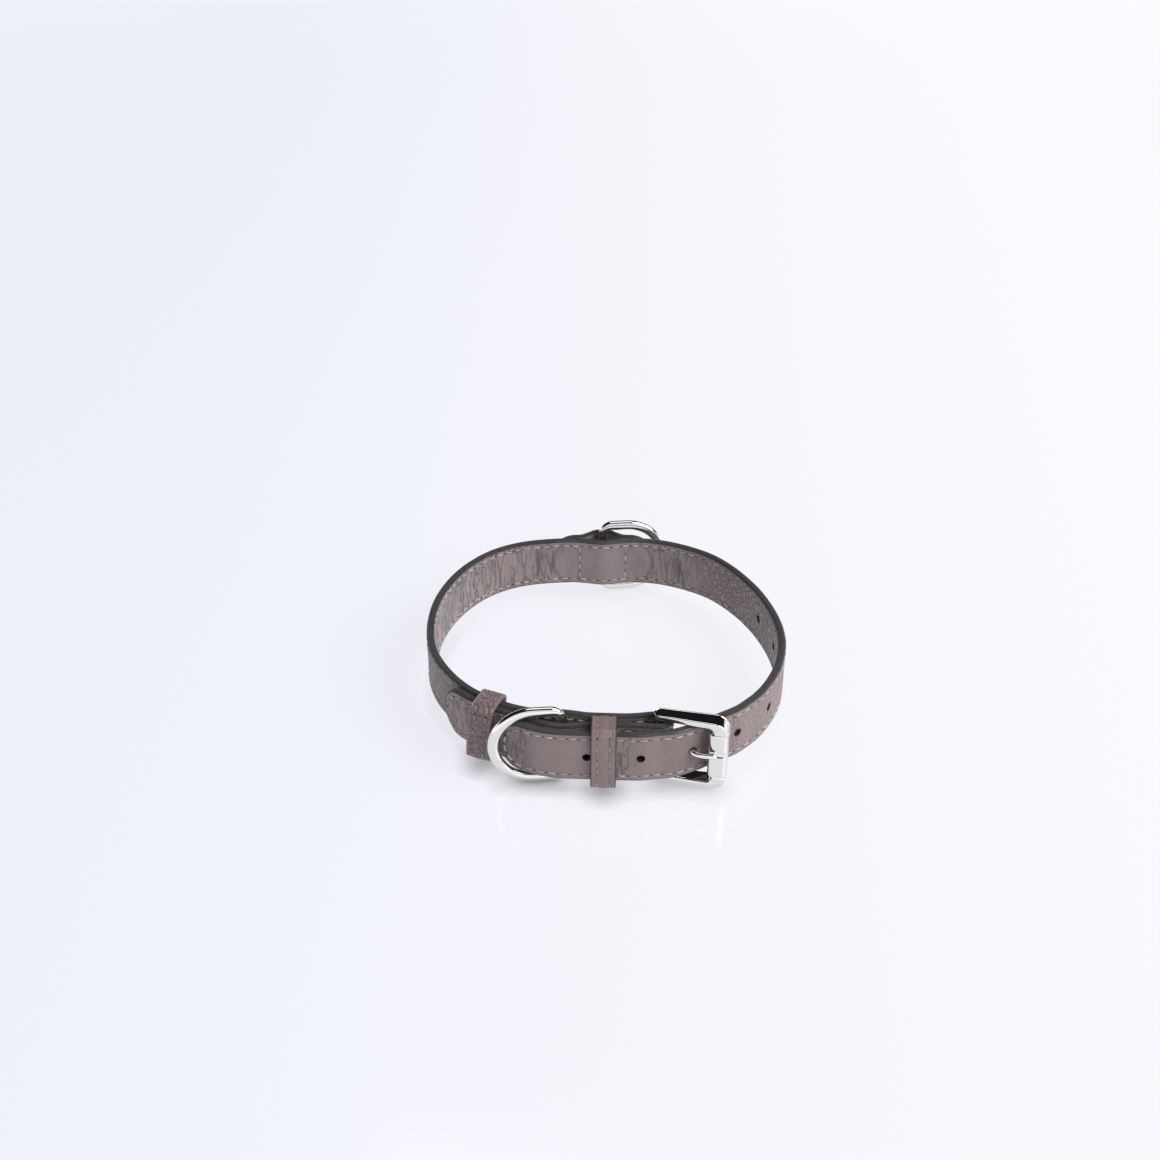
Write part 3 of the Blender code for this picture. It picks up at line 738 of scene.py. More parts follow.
@dataclass
class Strip:
    """A leather strip along a path, with round ends where the path is open."""

    name: str
    path: Path
    half: float
    rim: Rim
    end_round: float
    spacing: float
    relief: Relief

    def stations(self) -> Array:
        """Distances of the rows, closer together in the round ends: one minus a cosine."""
        if self.path.closed:
            count = int(math.ceil(self.path.length / self.spacing))
            return np.linspace(0, self.path.length, count, endpoint=False)
        ends = self.end_round * (1 - np.cos(np.radians(np.linspace(0, 90, 19))))
        count = int(math.ceil((self.path.length - 2 * self.end_round) / self.spacing))
        inner = np.linspace(self.end_round, self.path.length - self.end_round, count + 1)[1:-1]
        return np.concatenate([ends, inner, self.path.length - ends[::-1]])

    def rows(self) -> tuple[Array, Array, Array, Array]:
        """Along, across, depth and side of each place of the grid.

        In a round end the outline is a quarter ellipse, and an inset place runs on the
        ellipse that the same inset leaves, so that the rim goes evenly round the end.

        Returns:
            Four arrays by row and by place round the section. The side is 1 outside, -1
            inside and between them on the rims.
        """
        depth, inset, share = self.rim.columns()
        row = self.stations()[:, None]
        tall = np.ones_like(row)
        along = np.broadcast_to(row, (len(row), len(depth))).copy()
        if not self.path.closed:
            near = np.minimum(row, self.path.length - row)
            ended = near < self.end_round
            reach = np.clip(1 - near / self.end_round, 0, 1)
            tall = np.sqrt(np.maximum(1 - reach**2, 0))
            pushed = inset + near * (self.end_round - inset) / self.end_round
            from_start = row < self.path.length / 2
            moved = np.where(from_start, pushed, self.path.length - pushed)
            along = np.where(ended, moved, along)
        across = share * (self.half - inset) * tall
        grid_depth = np.broadcast_to(depth, along.shape)
        side = grid_depth / (self.rim.thick / 2)
        return along, across, grid_depth, side

    def place(
        self, along: Array, across: Array, side: float, lift: Array | float = 0.0
    ) -> tuple[Array, Array]:
        """Points on one face with its relief, and the directions away from that face.

        Args:
            along: distances along the strip.
            across: distances over its width.
            side: 1 for the outer face and -1 for the inner one.
            lift: height over that face.

        Returns:
            The points and the directions.
        """
        along, across = np.broadcast_arrays(np.asarray(along, float), np.asarray(across, float))
        level = self.relief(along, across, np.full(along.shape, side)) + lift
        points, normal = self.path.at(along, across, side * (self.rim.thick / 2 + level))
        return points, side * normal

    def build(self) -> bpy.types.Object:
        """The strip's closed surface, with its coordinates as attributes.

        Returns:
            The object. Its points carry along, across, side and edge, the way to the outline.
        """
        along, across, depth, side = self.rows()
        level = self.relief(along, across, side) * side
        points, _ = self.path.at(along, across, depth + level)
        count, around = along.shape
        faces = [tuple(f) for f in grid_faces(count, around, self.path.closed, True).tolist()]
        mesh = mesh_of(self.name, points, faces)
        tall = np.maximum(np.abs(across).max(axis=1, keepdims=True), 1e-6)
        edge = (tall - np.abs(across)) * np.ones_like(along)
        edge = np.where(np.abs(side) < 0.999, 0.0, edge)
        for name, value in (("along", along), ("across", across), ("side", side), ("edge", edge)):
            set_value(mesh, name, value)
        closed_mesh(mesh, merge=0.002 * MM)
        return add_object(self.name, mesh)


# Stitches


@dataclass(frozen=True)
class Thread:
    """A waxed sewing thread and the holes that its needle leaves."""

    radius: float = 0.27 * MM
    pitch: float = 3.9 * MM
    gap: float = 1.15 * MM
    proud: float = 0.07 * MM
    sunk: float = 0.42 * MM
    hole: float = 0.46 * MM
    hole_depth: float = 0.25 * MM
    hole_lift: float = 0.015 * MM
    slant: float = 0.045
    stray: float = 0.04 * MM
    rows: int = 7
    around: int = 6


def loose_faces(count: int, rows: int, around: int) -> list[tuple[int, ...]]:
    """Faces of equal closed pieces whose points are numbered piece by piece, row by row.

    Args:
        count: number of pieces.
        rows: rows of points in a piece.
        around: points in a row.

    Returns:
        The sides of all pieces, then their ends.
    """
    shift = np.arange(count)[:, None, None] * rows * around
    sides = grid_faces(rows, around, False, True)[None] + shift
    ring = np.arange(around)
    ends = np.stack([ring, (rows - 1) * around + ring])[None] + shift
    return [tuple(face) for face in (*sides.reshape(-1, 4).tolist(), *ends.reshape(-1, around).tolist())]


def even_marks(outline: Array, pitch: float) -> Array:
    """Places a pitch apart on a line of along and across, the pitch fitted to its length."""
    marks = lengths(outline)
    count = max(int(round(marks[-1] / pitch)), 1)
    even = np.linspace(0, marks[-1], count + 1)
    return np.stack([np.interp(even, marks, outline[:, axis]) for axis in (0, 1)], -1)


class Sewing:
    """Gathers the stitches and needle holes of one strip, then builds them as two pieces."""

    def __init__(self, strip: Strip, thread: Thread, seed: int) -> None:
        """Starts with no stitches.

        Args:
            strip: the leather that carries them.
            thread: the thread they are sewn with.
            seed: seed of their unevenness.
        """
        self.strip = strip
        self.thread = thread
        self.draw = np.random.default_rng(seed)
        self.stitches: list[Array] = []
        self.holes: list[Array] = []

    def sew(self, knots: Array, side: float) -> None:
        """Adds a row of stitches between needle holes.

        A stitch follows the face between two holes. Its middle stands proud, and its ends
        go down into the leather with the fourth power of the distance from its middle.

        Args:
            knots: along and across of each hole.
            side: the face that shows them.
        """
        thread = self.thread
        first, last = knots[:-1, None, :], knots[1:, None, :]
        count = len(first)
        run = np.linalg.norm(last - first, axis=-1, keepdims=True)
        t = np.linspace(-1, 1, thread.rows)[None, :, None]
        reach = (1 - thread.gap / run) / 2
        slant = self.draw.normal(0, thread.slant, (count, 1, 1))
        ahead = (last - first) / run
        aside = np.concatenate([-ahead[..., 1:], ahead[..., :1]], -1)
        middle = (first + last) / 2 + aside * self.draw.normal(0, thread.stray, (count, 1, 1))
        place = middle + ahead * t * reach * run + aside * t * reach * run * slant
        thick = thread.radius * self.draw.uniform(0.9, 1.1, (count, 1, 1))
        lift = thread.proud - thread.sunk * t[..., 0] ** 4
        centre, normal = self.strip.place(place[..., 0], place[..., 1], side, lift)
        chord = unit(centre[:, -1:] - centre[:, :1])
        across = unit(np.cross(normal, np.broadcast_to(chord, normal.shape)))
        angle = np.linspace(0, FULL_TURN, thread.around, endpoint=False)
        radius = (thick * (1 - 0.35 * t**4))[..., None]
        cosine, sine = np.cos(angle)[:, None], np.sin(angle)[:, None]
        ring = cosine * across[:, :, None] + sine * normal[:, :, None]
        self.stitches.append(centre[:, :, None] + radius * ring)

        spot, up = self.strip.place(knots[:, 0], knots[:, 1], side, thread.hole_lift)
        ahead_point, _ = self.strip.place(knots[:, 0] + 0.2 * MM, knots[:, 1], side, thread.hole_lift)
        ease = unit(ahead_point - spot)
        over = np.cross(up, ease)
        turn = np.linspace(0, FULL_TURN, 8, endpoint=False)[None, :, None]
        size = thread.hole * self.draw.uniform(0.8, 1.15, (len(knots), 1, 1))
        ring = spot[:, None] + size * (np.cos(turn) * ease[:, None] + np.sin(turn) * over[:, None])
        self.holes.append(np.concatenate([ring, ring - up[:, None] * thread.hole_depth], axis=1))

    def build(self, name: str) -> tuple[bpy.types.Object, bpy.types.Object]:
        """The stitches and the needle holes, each as one object of closed pieces.

        Args:
            name: start of both objects' names.

        Returns:
            The stitches and the holes.
        """
        stitches = np.concatenate(self.stitches)
        count, rows, around = stitches.shape[:3]
        mesh = mesh_of(name + "_stitches", stitches, loose_faces(count, rows, around))
        reach = np.linspace(-1, 1, rows)[None, :, None] * np.ones((count, 1, around))
        set_value(mesh, "reach", reach)
        turn = np.linspace(0, 1, around, endpoint=False)[None, None, :] * np.ones((count, rows, 1))
        set_value(mesh, "turn", turn)
        shade = self.draw.uniform(0, 1, (count, 1, 1)) * np.ones((count, rows, around))
        set_value(mesh, "shade", shade)
        thread = add_object(name + "_stitches", closed_mesh(mesh))

        # The needle hole pieces carry painted shade: their colour is nearly black
        holes = np.concatenate(self.holes)
        faces = loose_faces(len(holes), 2, holes.shape[1] // 2)
        mesh = closed_mesh(mesh_of(name + "_needle_holes", holes, faces))
        return thread, add_object(name + "_needle_holes", mesh)


# Finishes


Colour = tuple[float, float, float]


class Nodes:
    """A short way to put nodes into a tree and to link them."""

    def __init__(self, tree: bpy.types.NodeTree) -> None:
        """Keeps the tree."""
        self.tree = tree

    def add(self, kind: str, **values: object) -> bpy.types.Node:
        """A node of a kind, with its properties and plain inputs set.

        Args:
            kind: Blender's name of the node type.
            values: properties by name, and input values under in_ and the input's name.

        Returns:
            The node.
        """
        node = self.tree.nodes.new(kind)
        for name, value in values.items():
            if name.startswith("in_"):
                node.inputs[name[3:].replace("_", " ")].default_value = value
            else:
                setattr(node, name, value)
        return node

    def link(self, source: bpy.types.NodeSocket, target: bpy.types.NodeSocket) -> None:
        """Joins an output to an input."""
        self.tree.links.new(source, target)

    def feed(self, value: object, target: bpy.types.NodeSocket) -> None:
        """Links an input to a socket, or sets it to a number or a colour.

        Args:
            value: the socket, number or colour.
            target: the input.
        """
        if isinstance(value, bpy.types.NodeSocket):
            self.link(value, target)
        elif target.type == "RGBA":
            target.default_value = (*value, 1.0)
        else:
            target.default_value = value

    def math(self, operation: str, *terms: object, clamp: bool = False) -> bpy.types.NodeSocket:
        """A Math node on sockets and numbers.

        Args:
            operation: name of the operation.
            terms: its inputs, each a socket or a number.
            clamp: whether the result stays between zero and one.

        Returns:
            The output socket.
        """
        node = self.add("ShaderNodeMath", operation=operation, use_clamp=clamp)
        for term, socket in zip(terms, node.inputs):
            self.feed(term, socket)
        return node.outputs[0]

    def mix(self, share: object, first: object, second: object) -> bpy.types.NodeSocket:
        """A colour Mix node.

        Args:
            share: socket or number of how much of the second colour shows.
            first: socket or colour.
            second: socket or colour.

        Returns:
            The output socket.
        """
        node = self.add("ShaderNodeMix", data_type="RGBA")
        for term, index in ((share, 0), (first, 6), (second, 7)):
            self.feed(term, node.inputs[index])
        return node.outputs[2]

    def place(self) -> bpy.types.NodeSocket:
        """The place on the object, in metres."""
        return self.add("ShaderNodeTexCoord").outputs["Object"]

    def noise(
        self, place: bpy.types.NodeSocket, scale: object, detail: float = 2.0, roughness: float = 0.5
    ) -> bpy.types.Node:
        """A Noise texture.

        Args:
            place: coordinates that it is read at.
            scale: socket or number of its scale.
            detail: its octaves.
            roughness: how strong the finer octaves are.

        Returns:
            The node.
        """
        node = self.add("ShaderNodeTexNoise", in_Detail=detail, in_Roughness=roughness)
        self.link(place, node.inputs["Vector"])
        self.feed(scale, node.inputs["Scale"])
        return node

    def cells(
        self, place: bpy.types.NodeSocket, scale: object, randomness: float
    ) -> bpy.types.NodeSocket:
        """Distance to the borders of Voronoi cells.

        Args:
            place: coordinates that they are read at.
            scale: socket or number of their scale.
            randomness: how uneven they are.

        Returns:
            The output socket.
        """
        node = self.add("ShaderNodeTexVoronoi", feature="DISTANCE_TO_EDGE", in_Randomness=randomness)
        self.link(place, node.inputs["Vector"])
        self.feed(scale, node.inputs["Scale"])
        return node.outputs["Distance"]

    def relief(
        self, height: bpy.types.NodeSocket, strength: float, depth: float, under: object = None
    ) -> bpy.types.NodeSocket:
        """A Bump node.

        Args:
            height: the height.
            strength: its share.
            depth: the depth that a height of one stands for.
            under: normal that it adds to, or nothing.

        Returns:
            The normal.
        """
        node = self.add("ShaderNodeBump", in_Strength=strength, in_Distance=depth)
        self.link(height, node.inputs["Height"])
        if under is not None:
            self.link(under, node.inputs["Normal"])
        return node.outputs["Normal"]

    def rest(self, mask: object) -> bpy.types.NodeSocket:
        """One minus a mask."""
        return self.math("SUBTRACT", 1.0, mask)

    def steps(self, value: bpy.types.NodeSocket, low: float, high: float) -> bpy.types.NodeSocket:
        """A smooth step of a socket from zero at low to one at high."""
        node = self.add("ShaderNodeMapRange", interpolation_type="SMOOTHSTEP")
        self.link(value, node.inputs["Value"])
        node.inputs["From Min"].default_value = low
        node.inputs["From Max"].default_value = high
        return node.outputs["Result"]

    def attribute(self, name: str) -> bpy.types.NodeSocket:
        """The value of a piece's attribute."""
        return self.add("ShaderNodeAttribute", attribute_name=name).outputs["Fac"]


def new_group(
    name: str, inputs: dict[str, float], outputs: tuple[str, ...]
) -> tuple[bpy.types.NodeTree, Nodes, dict, dict]:
    """An empty node group with number inputs and outputs.

    Args:
        name: name of the group.
        inputs: default value of each input.
        outputs: name of each output.

    Returns:
        The group, its nodes, its input sockets inside and its output sockets inside.
    """
    tree = bpy.data.node_groups.new(name, "ShaderNodeTree")
    for label, value in inputs.items():
        socket = tree.interface.new_socket(label, in_out="INPUT", socket_type="NodeSocketFloat")
        socket.default_value = value
    for label in outputs:
        tree.interface.new_socket(label, in_out="OUTPUT", socket_type="NodeSocketFloat")
    nodes = Nodes(tree)
    entry = nodes.add("NodeGroupInput")
    leave = nodes.add("NodeGroupOutput")
    sources = {label: entry.outputs[label] for label in inputs}
    targets = {label: leave.inputs[label] for label in outputs}
    return tree, nodes, sources, targets


VALLEY_WIDTH = 0.30
PORES_TO_PEBBLES = 2.6
CLOUDS_TO_PEBBLES = 0.11
STREAKS_TO_PATCHES = 9.0
PAINT_FADE = 0.35 * MM


def grain_group() -> bpy.types.NodeTree:
    """Leather grain: pebbles as cell distances, fine pores and slow clouds.

    Returns:
        A group with inputs Size, Pebbles and Pores, and outputs Height, Valleys and Clouds.
    """
    tree, nodes, given, out = new_group(
        "leather_grain", {"Size": 900.0, "Pebbles": 0.5, "Pores": 0.4}, ("Height", "Valleys", "Clouds")
    )
    place, size = nodes.place(), given["Size"]
    valleys = nodes.steps(nodes.cells(place, size, 0.9), 0.0, VALLEY_WIDTH)
    pores = nodes.noise(place, nodes.math("MULTIPLY", size, PORES_TO_PEBBLES), 5.0, 0.62)
    clouds = nodes.noise(place, nodes.math("MULTIPLY", size, CLOUDS_TO_PEBBLES), 4.0, 0.55)
    pebbled = nodes.math("MULTIPLY", valleys, given["Pebbles"])
    porous = nodes.math("MULTIPLY", pores.outputs["Fac"], given["Pores"])
    nodes.link(nodes.math("ADD", pebbled, porous), out["Height"])
    nodes.link(nodes.math("MULTIPLY", nodes.rest(valleys), given["Pebbles"]), out["Valleys"])
    nodes.link(clouds.outputs["Fac"], out["Clouds"])
    return tree


def scuff_group() -> bpy.types.NodeTree:
    """Handling marks: thin stretched streaks where a slow noise lets them show.

    Returns:
        A group with inputs Size and Amount and the output Mask.
    """
    tree, nodes, given, out = new_group("handling_marks", {"Size": 60.0, "Amount": 0.5}, ("Mask",))
    place, size = nodes.place(), given["Size"]
    stretch = nodes.add("ShaderNodeMapping", in_Scale=(1.0, 1.0, 0.25))
    nodes.link(place, stretch.inputs["Vector"])
    fine = nodes.math("MULTIPLY", size, STREAKS_TO_PATCHES)
    streaks = nodes.noise(stretch.outputs["Vector"], fine, 6.0, 0.7)
    patches = nodes.noise(place, size)
    shown = nodes.steps(patches.outputs["Fac"], 0.42, 0.66)
    marks = nodes.math("MULTIPLY", nodes.steps(streaks.outputs["Fac"], 0.52, 0.75), shown)
    nodes.link(nodes.math("MULTIPLY", marks, given["Amount"]), out["Mask"])
    return tree


def painted_edge_group() -> bpy.types.NodeTree:
    """Edge paint: everything nearer to the rim than an uneven line.

    Returns:
        A group with inputs Edge and Reach and the output Mask.
    """
    tree, nodes, given, out = new_group("edge_paint", {"Edge": 0.0, "Reach": 1.0 * MM}, ("Mask",))
    wobble = nodes.noise(nodes.place(), 420.0, 3.0)
    uneven = nodes.math("MULTIPLY_ADD", wobble.outputs["Fac"], 0.5, 0.75)
    line = nodes.math("MULTIPLY", uneven, given["Reach"])
    past = nodes.math("DIVIDE", nodes.math("SUBTRACT", given["Edge"], line), PAINT_FADE)
    covered = nodes.math("SUBTRACT", 1.0, nodes.math("ADD", past, 0.5, clamp=True), clamp=True)
    nodes.link(covered, out["Mask"])
    return tree


class Effects:
    """The node groups that several finishes share, each built once."""

    def __init__(self) -> None:
        """Builds the groups."""
        self.grain = grain_group()
        self.marks = scuff_group()
        self.edge = painted_edge_group()

    def place(self, nodes: Nodes, tree: bpy.types.NodeTree, **inputs: object) -> bpy.types.Node:
        """A group node with its inputs set or linked.

        Args:
            nodes: nodes of the material.
            tree: the group.
            inputs: value or socket of each input.

        Returns:
            The group node.
        """
        node = nodes.add("ShaderNodeGroup")
        node.node_tree = tree
        for label, value in inputs.items():
            nodes.feed(value, node.inputs[label])
        return node


def new_material(name: str) -> tuple[bpy.types.Material, Nodes, bpy.types.Node]:
    """A material with its nodes and its Principled shader."""
    material = bpy.data.materials.new(name)
    material.use_nodes = True
    return material, Nodes(material.node_tree), material.node_tree.nodes["Principled BSDF"]


@dataclass(frozen=True)
class LeatherFinish:
    """Dyed grain leather with painted edges and wrinkles, and painted shade in its valleys and hollows."""

    name: str
    outside: Colour = (0.249, 0.190, 0.185)
    inside: Colour = (0.255, 0.203, 0.202)
    paint: Colour = (0.040, 0.036, 0.039)
    pebbles: float = 0.30
    pores: float = 0.5
    grain_size: float = 900.0
    grain_depth: float = 0.10 * MM
    wrinkle_size: float = 360.0
    wrinkle_stretch: float = 1.5
    wrinkle_depth: float = 0.42 * MM
    crease_size: float = 470.0
    crease_stretch: float = 0.20
    paint_reach: float = 0.62 * MM
    roughness: float = 0.44
    worn: float = 0.5
    clouding: float = 0.16
    # Painted shade: how far grain valleys, wrinkle and crease valleys and hollows are darkened
    valley_shade: float = 0.35
    crack_shade: float = 0.48
    hollow_shade: float = 0.55
    rubbed: float = 0.30
    sheen: float = 0.05

    def material(self, effects: Effects) -> bpy.types.Material:
        """Builds the leather's material.

        Args:
            effects: the shared node groups.

        Returns:
            The material.
        """
        material, nodes, shader = new_material(self.name)
        grain = effects.place(
            nodes, effects.grain, Size=self.grain_size, Pebbles=self.pebbles, Pores=self.pores
        )
        marks = effects.place(nodes, effects.marks, Size=55.0, Amount=self.worn)
        edge = effects.place(
            nodes, effects.edge, Edge=nodes.attribute("edge"), Reach=self.paint_reach
        )
        cracks = self._cracks(nodes)
        colour = self._colour(nodes, grain, marks, edge, cracks)
        nodes.link(colour, shader.inputs["Base Color"])
        clouds = grain.outputs["Clouds"]
        dull = nodes.math("MULTIPLY_ADD", clouds, self.clouding, self.roughness - self.clouding / 2)
        dull = nodes.math("ADD", dull, nodes.math("MULTIPLY", cracks, 0.20))
        paint_gloss = nodes.math("MULTIPLY", edge.outputs["Mask"], -0.08)
        nodes.link(nodes.math("ADD", dull, paint_gloss), shader.inputs["Roughness"])
        bare = nodes.rest(nodes.math("MULTIPLY", edge.outputs["Mask"], 0.55))
        height = nodes.math("MULTIPLY", grain.outputs["Height"], bare)
        fine = nodes.relief(height, 0.7, self.grain_depth)
        raised = nodes.rest(nodes.math("MULTIPLY", cracks, bare))
        nodes.link(nodes.relief(raised, 0.9, self.wrinkle_depth, fine), shader.inputs["Normal"])
        shader.inputs["Sheen Weight"].default_value = self.sheen
        shader.inputs["Sheen Roughness"].default_value = 0.5
        return material

    def _cracks(self, nodes: Nodes) -> bpy.types.NodeSocket:
        """Valleys of wrinkled and of creased leather, as strong as the piece says.

        Wrinkles are the borders of cells that are drawn out over the strip's width and
        pushed about by a noise. Creases are thin lines along which a noise, drawn out much
        more over the width, is one half.

        Args:
            nodes: nodes of the material.

        Returns:
            A mask that is one in the middle of a valley.
        """
        plain = self._on_strip(nodes, self.wrinkle_stretch, 1.0)
        push = nodes.noise(plain, 260.0)
        pushed = nodes.add("ShaderNodeVectorMath", operation="MULTIPLY_ADD")
        for value, socket in zip((push.outputs["Color"], (2.4 * MM, 2.4 * MM, 0.0), plain), pushed.inputs):
            nodes.feed(value, socket)
        borders = nodes.cells(pushed.outputs["Vector"], self.wrinkle_size, 1.0)
        valley = nodes.rest(nodes.steps(borders, 0.0, 0.20))
        wrinkles = nodes.math("MULTIPLY", valley, nodes.attribute("wrinkled"))
        drawn_out = self._on_strip(nodes, 1.0, self.crease_stretch)
        folds = nodes.noise(drawn_out, self.crease_size, 3.0, 0.55)
        away = nodes.math("ABSOLUTE", nodes.math("SUBTRACT", folds.outputs["Fac"], 0.5))
        line = nodes.rest(nodes.steps(away, 0.0, 0.045))
        creases = nodes.math("MULTIPLY", line, nodes.attribute("creased"))
        return nodes.math("MAXIMUM", wrinkles, creases)

    def _on_strip(self, nodes: Nodes, along: float, across: float) -> bpy.types.NodeSocket:
        """Coordinates on the strip's faces, scaled along it and over its width.

        Args:
            nodes: nodes of the material.
            along: scale along the strip.
            across: scale over its width.

        Returns:
            The vector. Its third part keeps the two faces apart.
        """
        place = nodes.add("ShaderNodeCombineXYZ")
        for name, scale, socket in zip(("along", "across", "side"), (along, across, 0.05), place.inputs):
            nodes.link(nodes.math("MULTIPLY", nodes.attribute(name), scale), socket)
        return place.outputs["Vector"]

    def _colour(
        self,
        nodes: Nodes,
        grain: bpy.types.Node,
        marks: bpy.types.Node,
        edge: bpy.types.Node,
        cracks: bpy.types.NodeSocket,
    ) -> bpy.types.NodeSocket:
        """The dye with painted shade in every valley and hollow, rubbed paler, with the edges painted.

        Args:
            nodes: nodes of the material.
            grain: the grain group.
            marks: the group of handling marks.
            edge: the group of the edge paint.
            cracks: mask of the wrinkles' valleys.

        Returns:
            The colour.
        """
        inner = nodes.steps(nodes.attribute("side"), 0.2, -0.2)
        colour = nodes.mix(inner, self.outside, self.inside)
        clouds = nodes.steps(grain.outputs["Clouds"], 0.3, 0.7)
        shade = nodes.math("MULTIPLY_ADD", clouds, self.clouding, 1.0 - self.clouding / 2)
        # The tone attribute scales the dye; on the strap it also carries painted light and painted shade
        tone = nodes.math("MULTIPLY", shade, nodes.math("ADD", nodes.attribute("tone"), 1.0))
        scaled = nodes.add("ShaderNodeVectorMath", operation="SCALE")
        nodes.link(colour, scaled.inputs[0])
        nodes.link(tone, scaled.inputs["Scale"])
        colour = scaled.outputs[0]
        # Painted shade: valleys, cracks and hollows are mixed towards this dark copy of the dye; the rubbed
        # layer is real handling wear
        dark = tuple(0.34 * part for part in self.outside)
        pale = tuple(min(1.0, 1.55 * part + 0.02) for part in self.outside)
        layers = (
            (grain.outputs["Valleys"], self.valley_shade, dark),
            (cracks, self.crack_shade, dark),
            (nodes.attribute("hollow"), self.hollow_shade, dark),
            (marks.outputs["Mask"], self.rubbed, pale),
        )
        for mask, share, layer in layers:
            colour = nodes.mix(nodes.math("MULTIPLY", mask, share), colour, layer)
        return nodes.mix(edge.outputs["Mask"], colour, self.paint)


@dataclass(frozen=True)
class ChromeFinish:
    """Polished chrome plate with a faint haze and hairlines."""

    name: str
    colour: Colour = (0.79, 0.775, 0.755)
    haze: Colour = (0.74, 0.725, 0.705)
    roughness: float = 0.045

    def material(self, effects: Effects) -> bpy.types.Material:
        """Builds the chrome's material.

        Args:
            effects: the shared node groups.

        Returns:
            The material.
        """
        material, nodes, shader = new_material(self.name)
        marks = effects.place(nodes, effects.marks, Size=140.0, Amount=0.6)
        nodes.link(nodes.mix(marks.outputs["Mask"], self.colour, self.haze), shader.inputs["Base Color"])
        dull = nodes.math("MULTIPLY_ADD", marks.outputs["Mask"], 0.06, self.roughness)
        nodes.link(dull, shader.inputs["Roughness"])
        shader.inputs["Metallic"].default_value = 1.0
        return material


@dataclass(frozen=True)
class ThreadFinish:
    """Two-ply waxed thread."""

    name: str
    colour: Colour = (0.60, 0.50, 0.49)
    shade: Colour = (0.30, 0.235, 0.23)
    roughness: float = 0.42

    def material(self) -> bpy.types.Material:
        """Builds the thread's material: plies as slanted bands round each stitch."""
        material, nodes, shader = new_material(self.name)
        slant = nodes.math("MULTIPLY_ADD", nodes.attribute("reach"), 2.5, nodes.attribute("turn"))
        ply = nodes.math("SINE", nodes.math("MULTIPLY", slant, 4 * math.pi))
        ply = nodes.math("MULTIPLY_ADD", ply, 0.5, 0.5)
        uneven = nodes.math("MULTIPLY", nodes.attribute("shade"), 0.75)
        share = nodes.math("ADD", nodes.math("MULTIPLY", ply, 0.25), uneven, clamp=True)
        nodes.link(nodes.mix(share, self.colour, self.shade), shader.inputs["Base Color"])
        shader.inputs["Roughness"].default_value = self.roughness
        nodes.link(nodes.relief(ply, 0.6, 0.06 * MM), shader.inputs["Normal"])
        shader.inputs["Sheen Weight"].default_value = 0.2
        return material


@dataclass(frozen=True)
class HoleShadeFinish:
    """Painted shade of a needle hole: a near-black colour on a small piece sunk into the hole."""

    name: str
    colour: Colour = (0.030, 0.022, 0.021)

    def material(self) -> bpy.types.Material:
        """Builds the hole's material: painted shade, nearly black, with a little unevenness."""
        material, nodes, shader = new_material(self.name)
        noise = nodes.add("ShaderNodeTexNoise", in_Scale=2500.0, in_Detail=2.0)
        pale = tuple(2.0 * part for part in self.colour)
        nodes.link(nodes.mix(noise.outputs["Fac"], self.colour, pale), shader.inputs["Base Color"])
        shader.inputs["Roughness"].default_value = 0.9
        return material


@dataclass(frozen=True)
class FloorFinish:
    """Glossy pale sheet whose own glow is painted light, with painted shadows where something stands close
    over it.
    """

    name: str
    colour: Colour = (0.100, 0.103, 0.108)
    glow_left: Colour = (0.870, 0.890, 0.965)
    glow_right: Colour = (1.010, 1.0, 1.035)
    glow_strength: float = 0.865
    shadow_reach: float = 8 * MM
    shadow_share: float = 0.85
    shaded_way: tuple[float, float, float] = (-0.70, -0.71, 0.0)
    shaded_from: float = 45 * MM
    least_shade: float = 0.15
    half_width: float = 0.30
    roughness: float = 0.10

    def material(self) -> bpy.types.Material:
        """Builds the floor's material.

        Its glow is painted light, cooler and dimmer on the left and brighter on the right, and it goes
        down in painted shadow where the sheet is hemmed in, most of all in front and on the left.

        Returns:
            The material.
        """
        material, nodes, shader = new_material(self.name)
        place = nodes.place()
        clouds = nodes.noise(place, 9.0).outputs["Fac"]
        dimmer = tuple(0.985 * part for part in self.colour)
        nodes.link(nodes.mix(clouds, self.colour, dimmer), shader.inputs["Base Color"])
        nodes.link(nodes.math("MULTIPLY_ADD", clouds, 0.05, self.roughness), shader.inputs["Roughness"])
        shader.inputs["Specular IOR Level"].default_value = 0.35
        axes = nodes.add("ShaderNodeSeparateXYZ")
        nodes.link(place, axes.inputs["Vector"])
        # Painted light: the glow is brighter and warmer on the right
        rightward = nodes.steps(axes.outputs["X"], -self.half_width, self.half_width)
        glow = nodes.mix(rightward, self.glow_left, self.glow_right)
        aim = nodes.add("ShaderNodeVectorMath", operation="DOT_PRODUCT")
        nodes.link(place, aim.inputs[0])
        aim.inputs[1].default_value = self.shaded_way
        on_side = nodes.steps(aim.outputs["Value"], 0.0, self.shaded_from)
        shaded_side = nodes.math("MULTIPLY_ADD", on_side, 1.0 - self.least_shade, self.least_shade)
        # Painted shadow: ambient occlusion dims the glow, most of all on the front-left side
        near = nodes.add("ShaderNodeAmbientOcclusion", samples=4, in_Distance=self.shadow_reach)
        hemmed = nodes.rest(nodes.math("POWER", near.outputs["AO"], 1.6))
        dim = nodes.math("MULTIPLY", nodes.math("MULTIPLY", hemmed, shaded_side), self.shadow_share)
        nodes.link(nodes.mix(dim, glow, (0.02, 0.02, 0.02)), shader.inputs["Emission Color"])
        shader.inputs["Emission Strength"].default_value = self.glow_strength
        return material


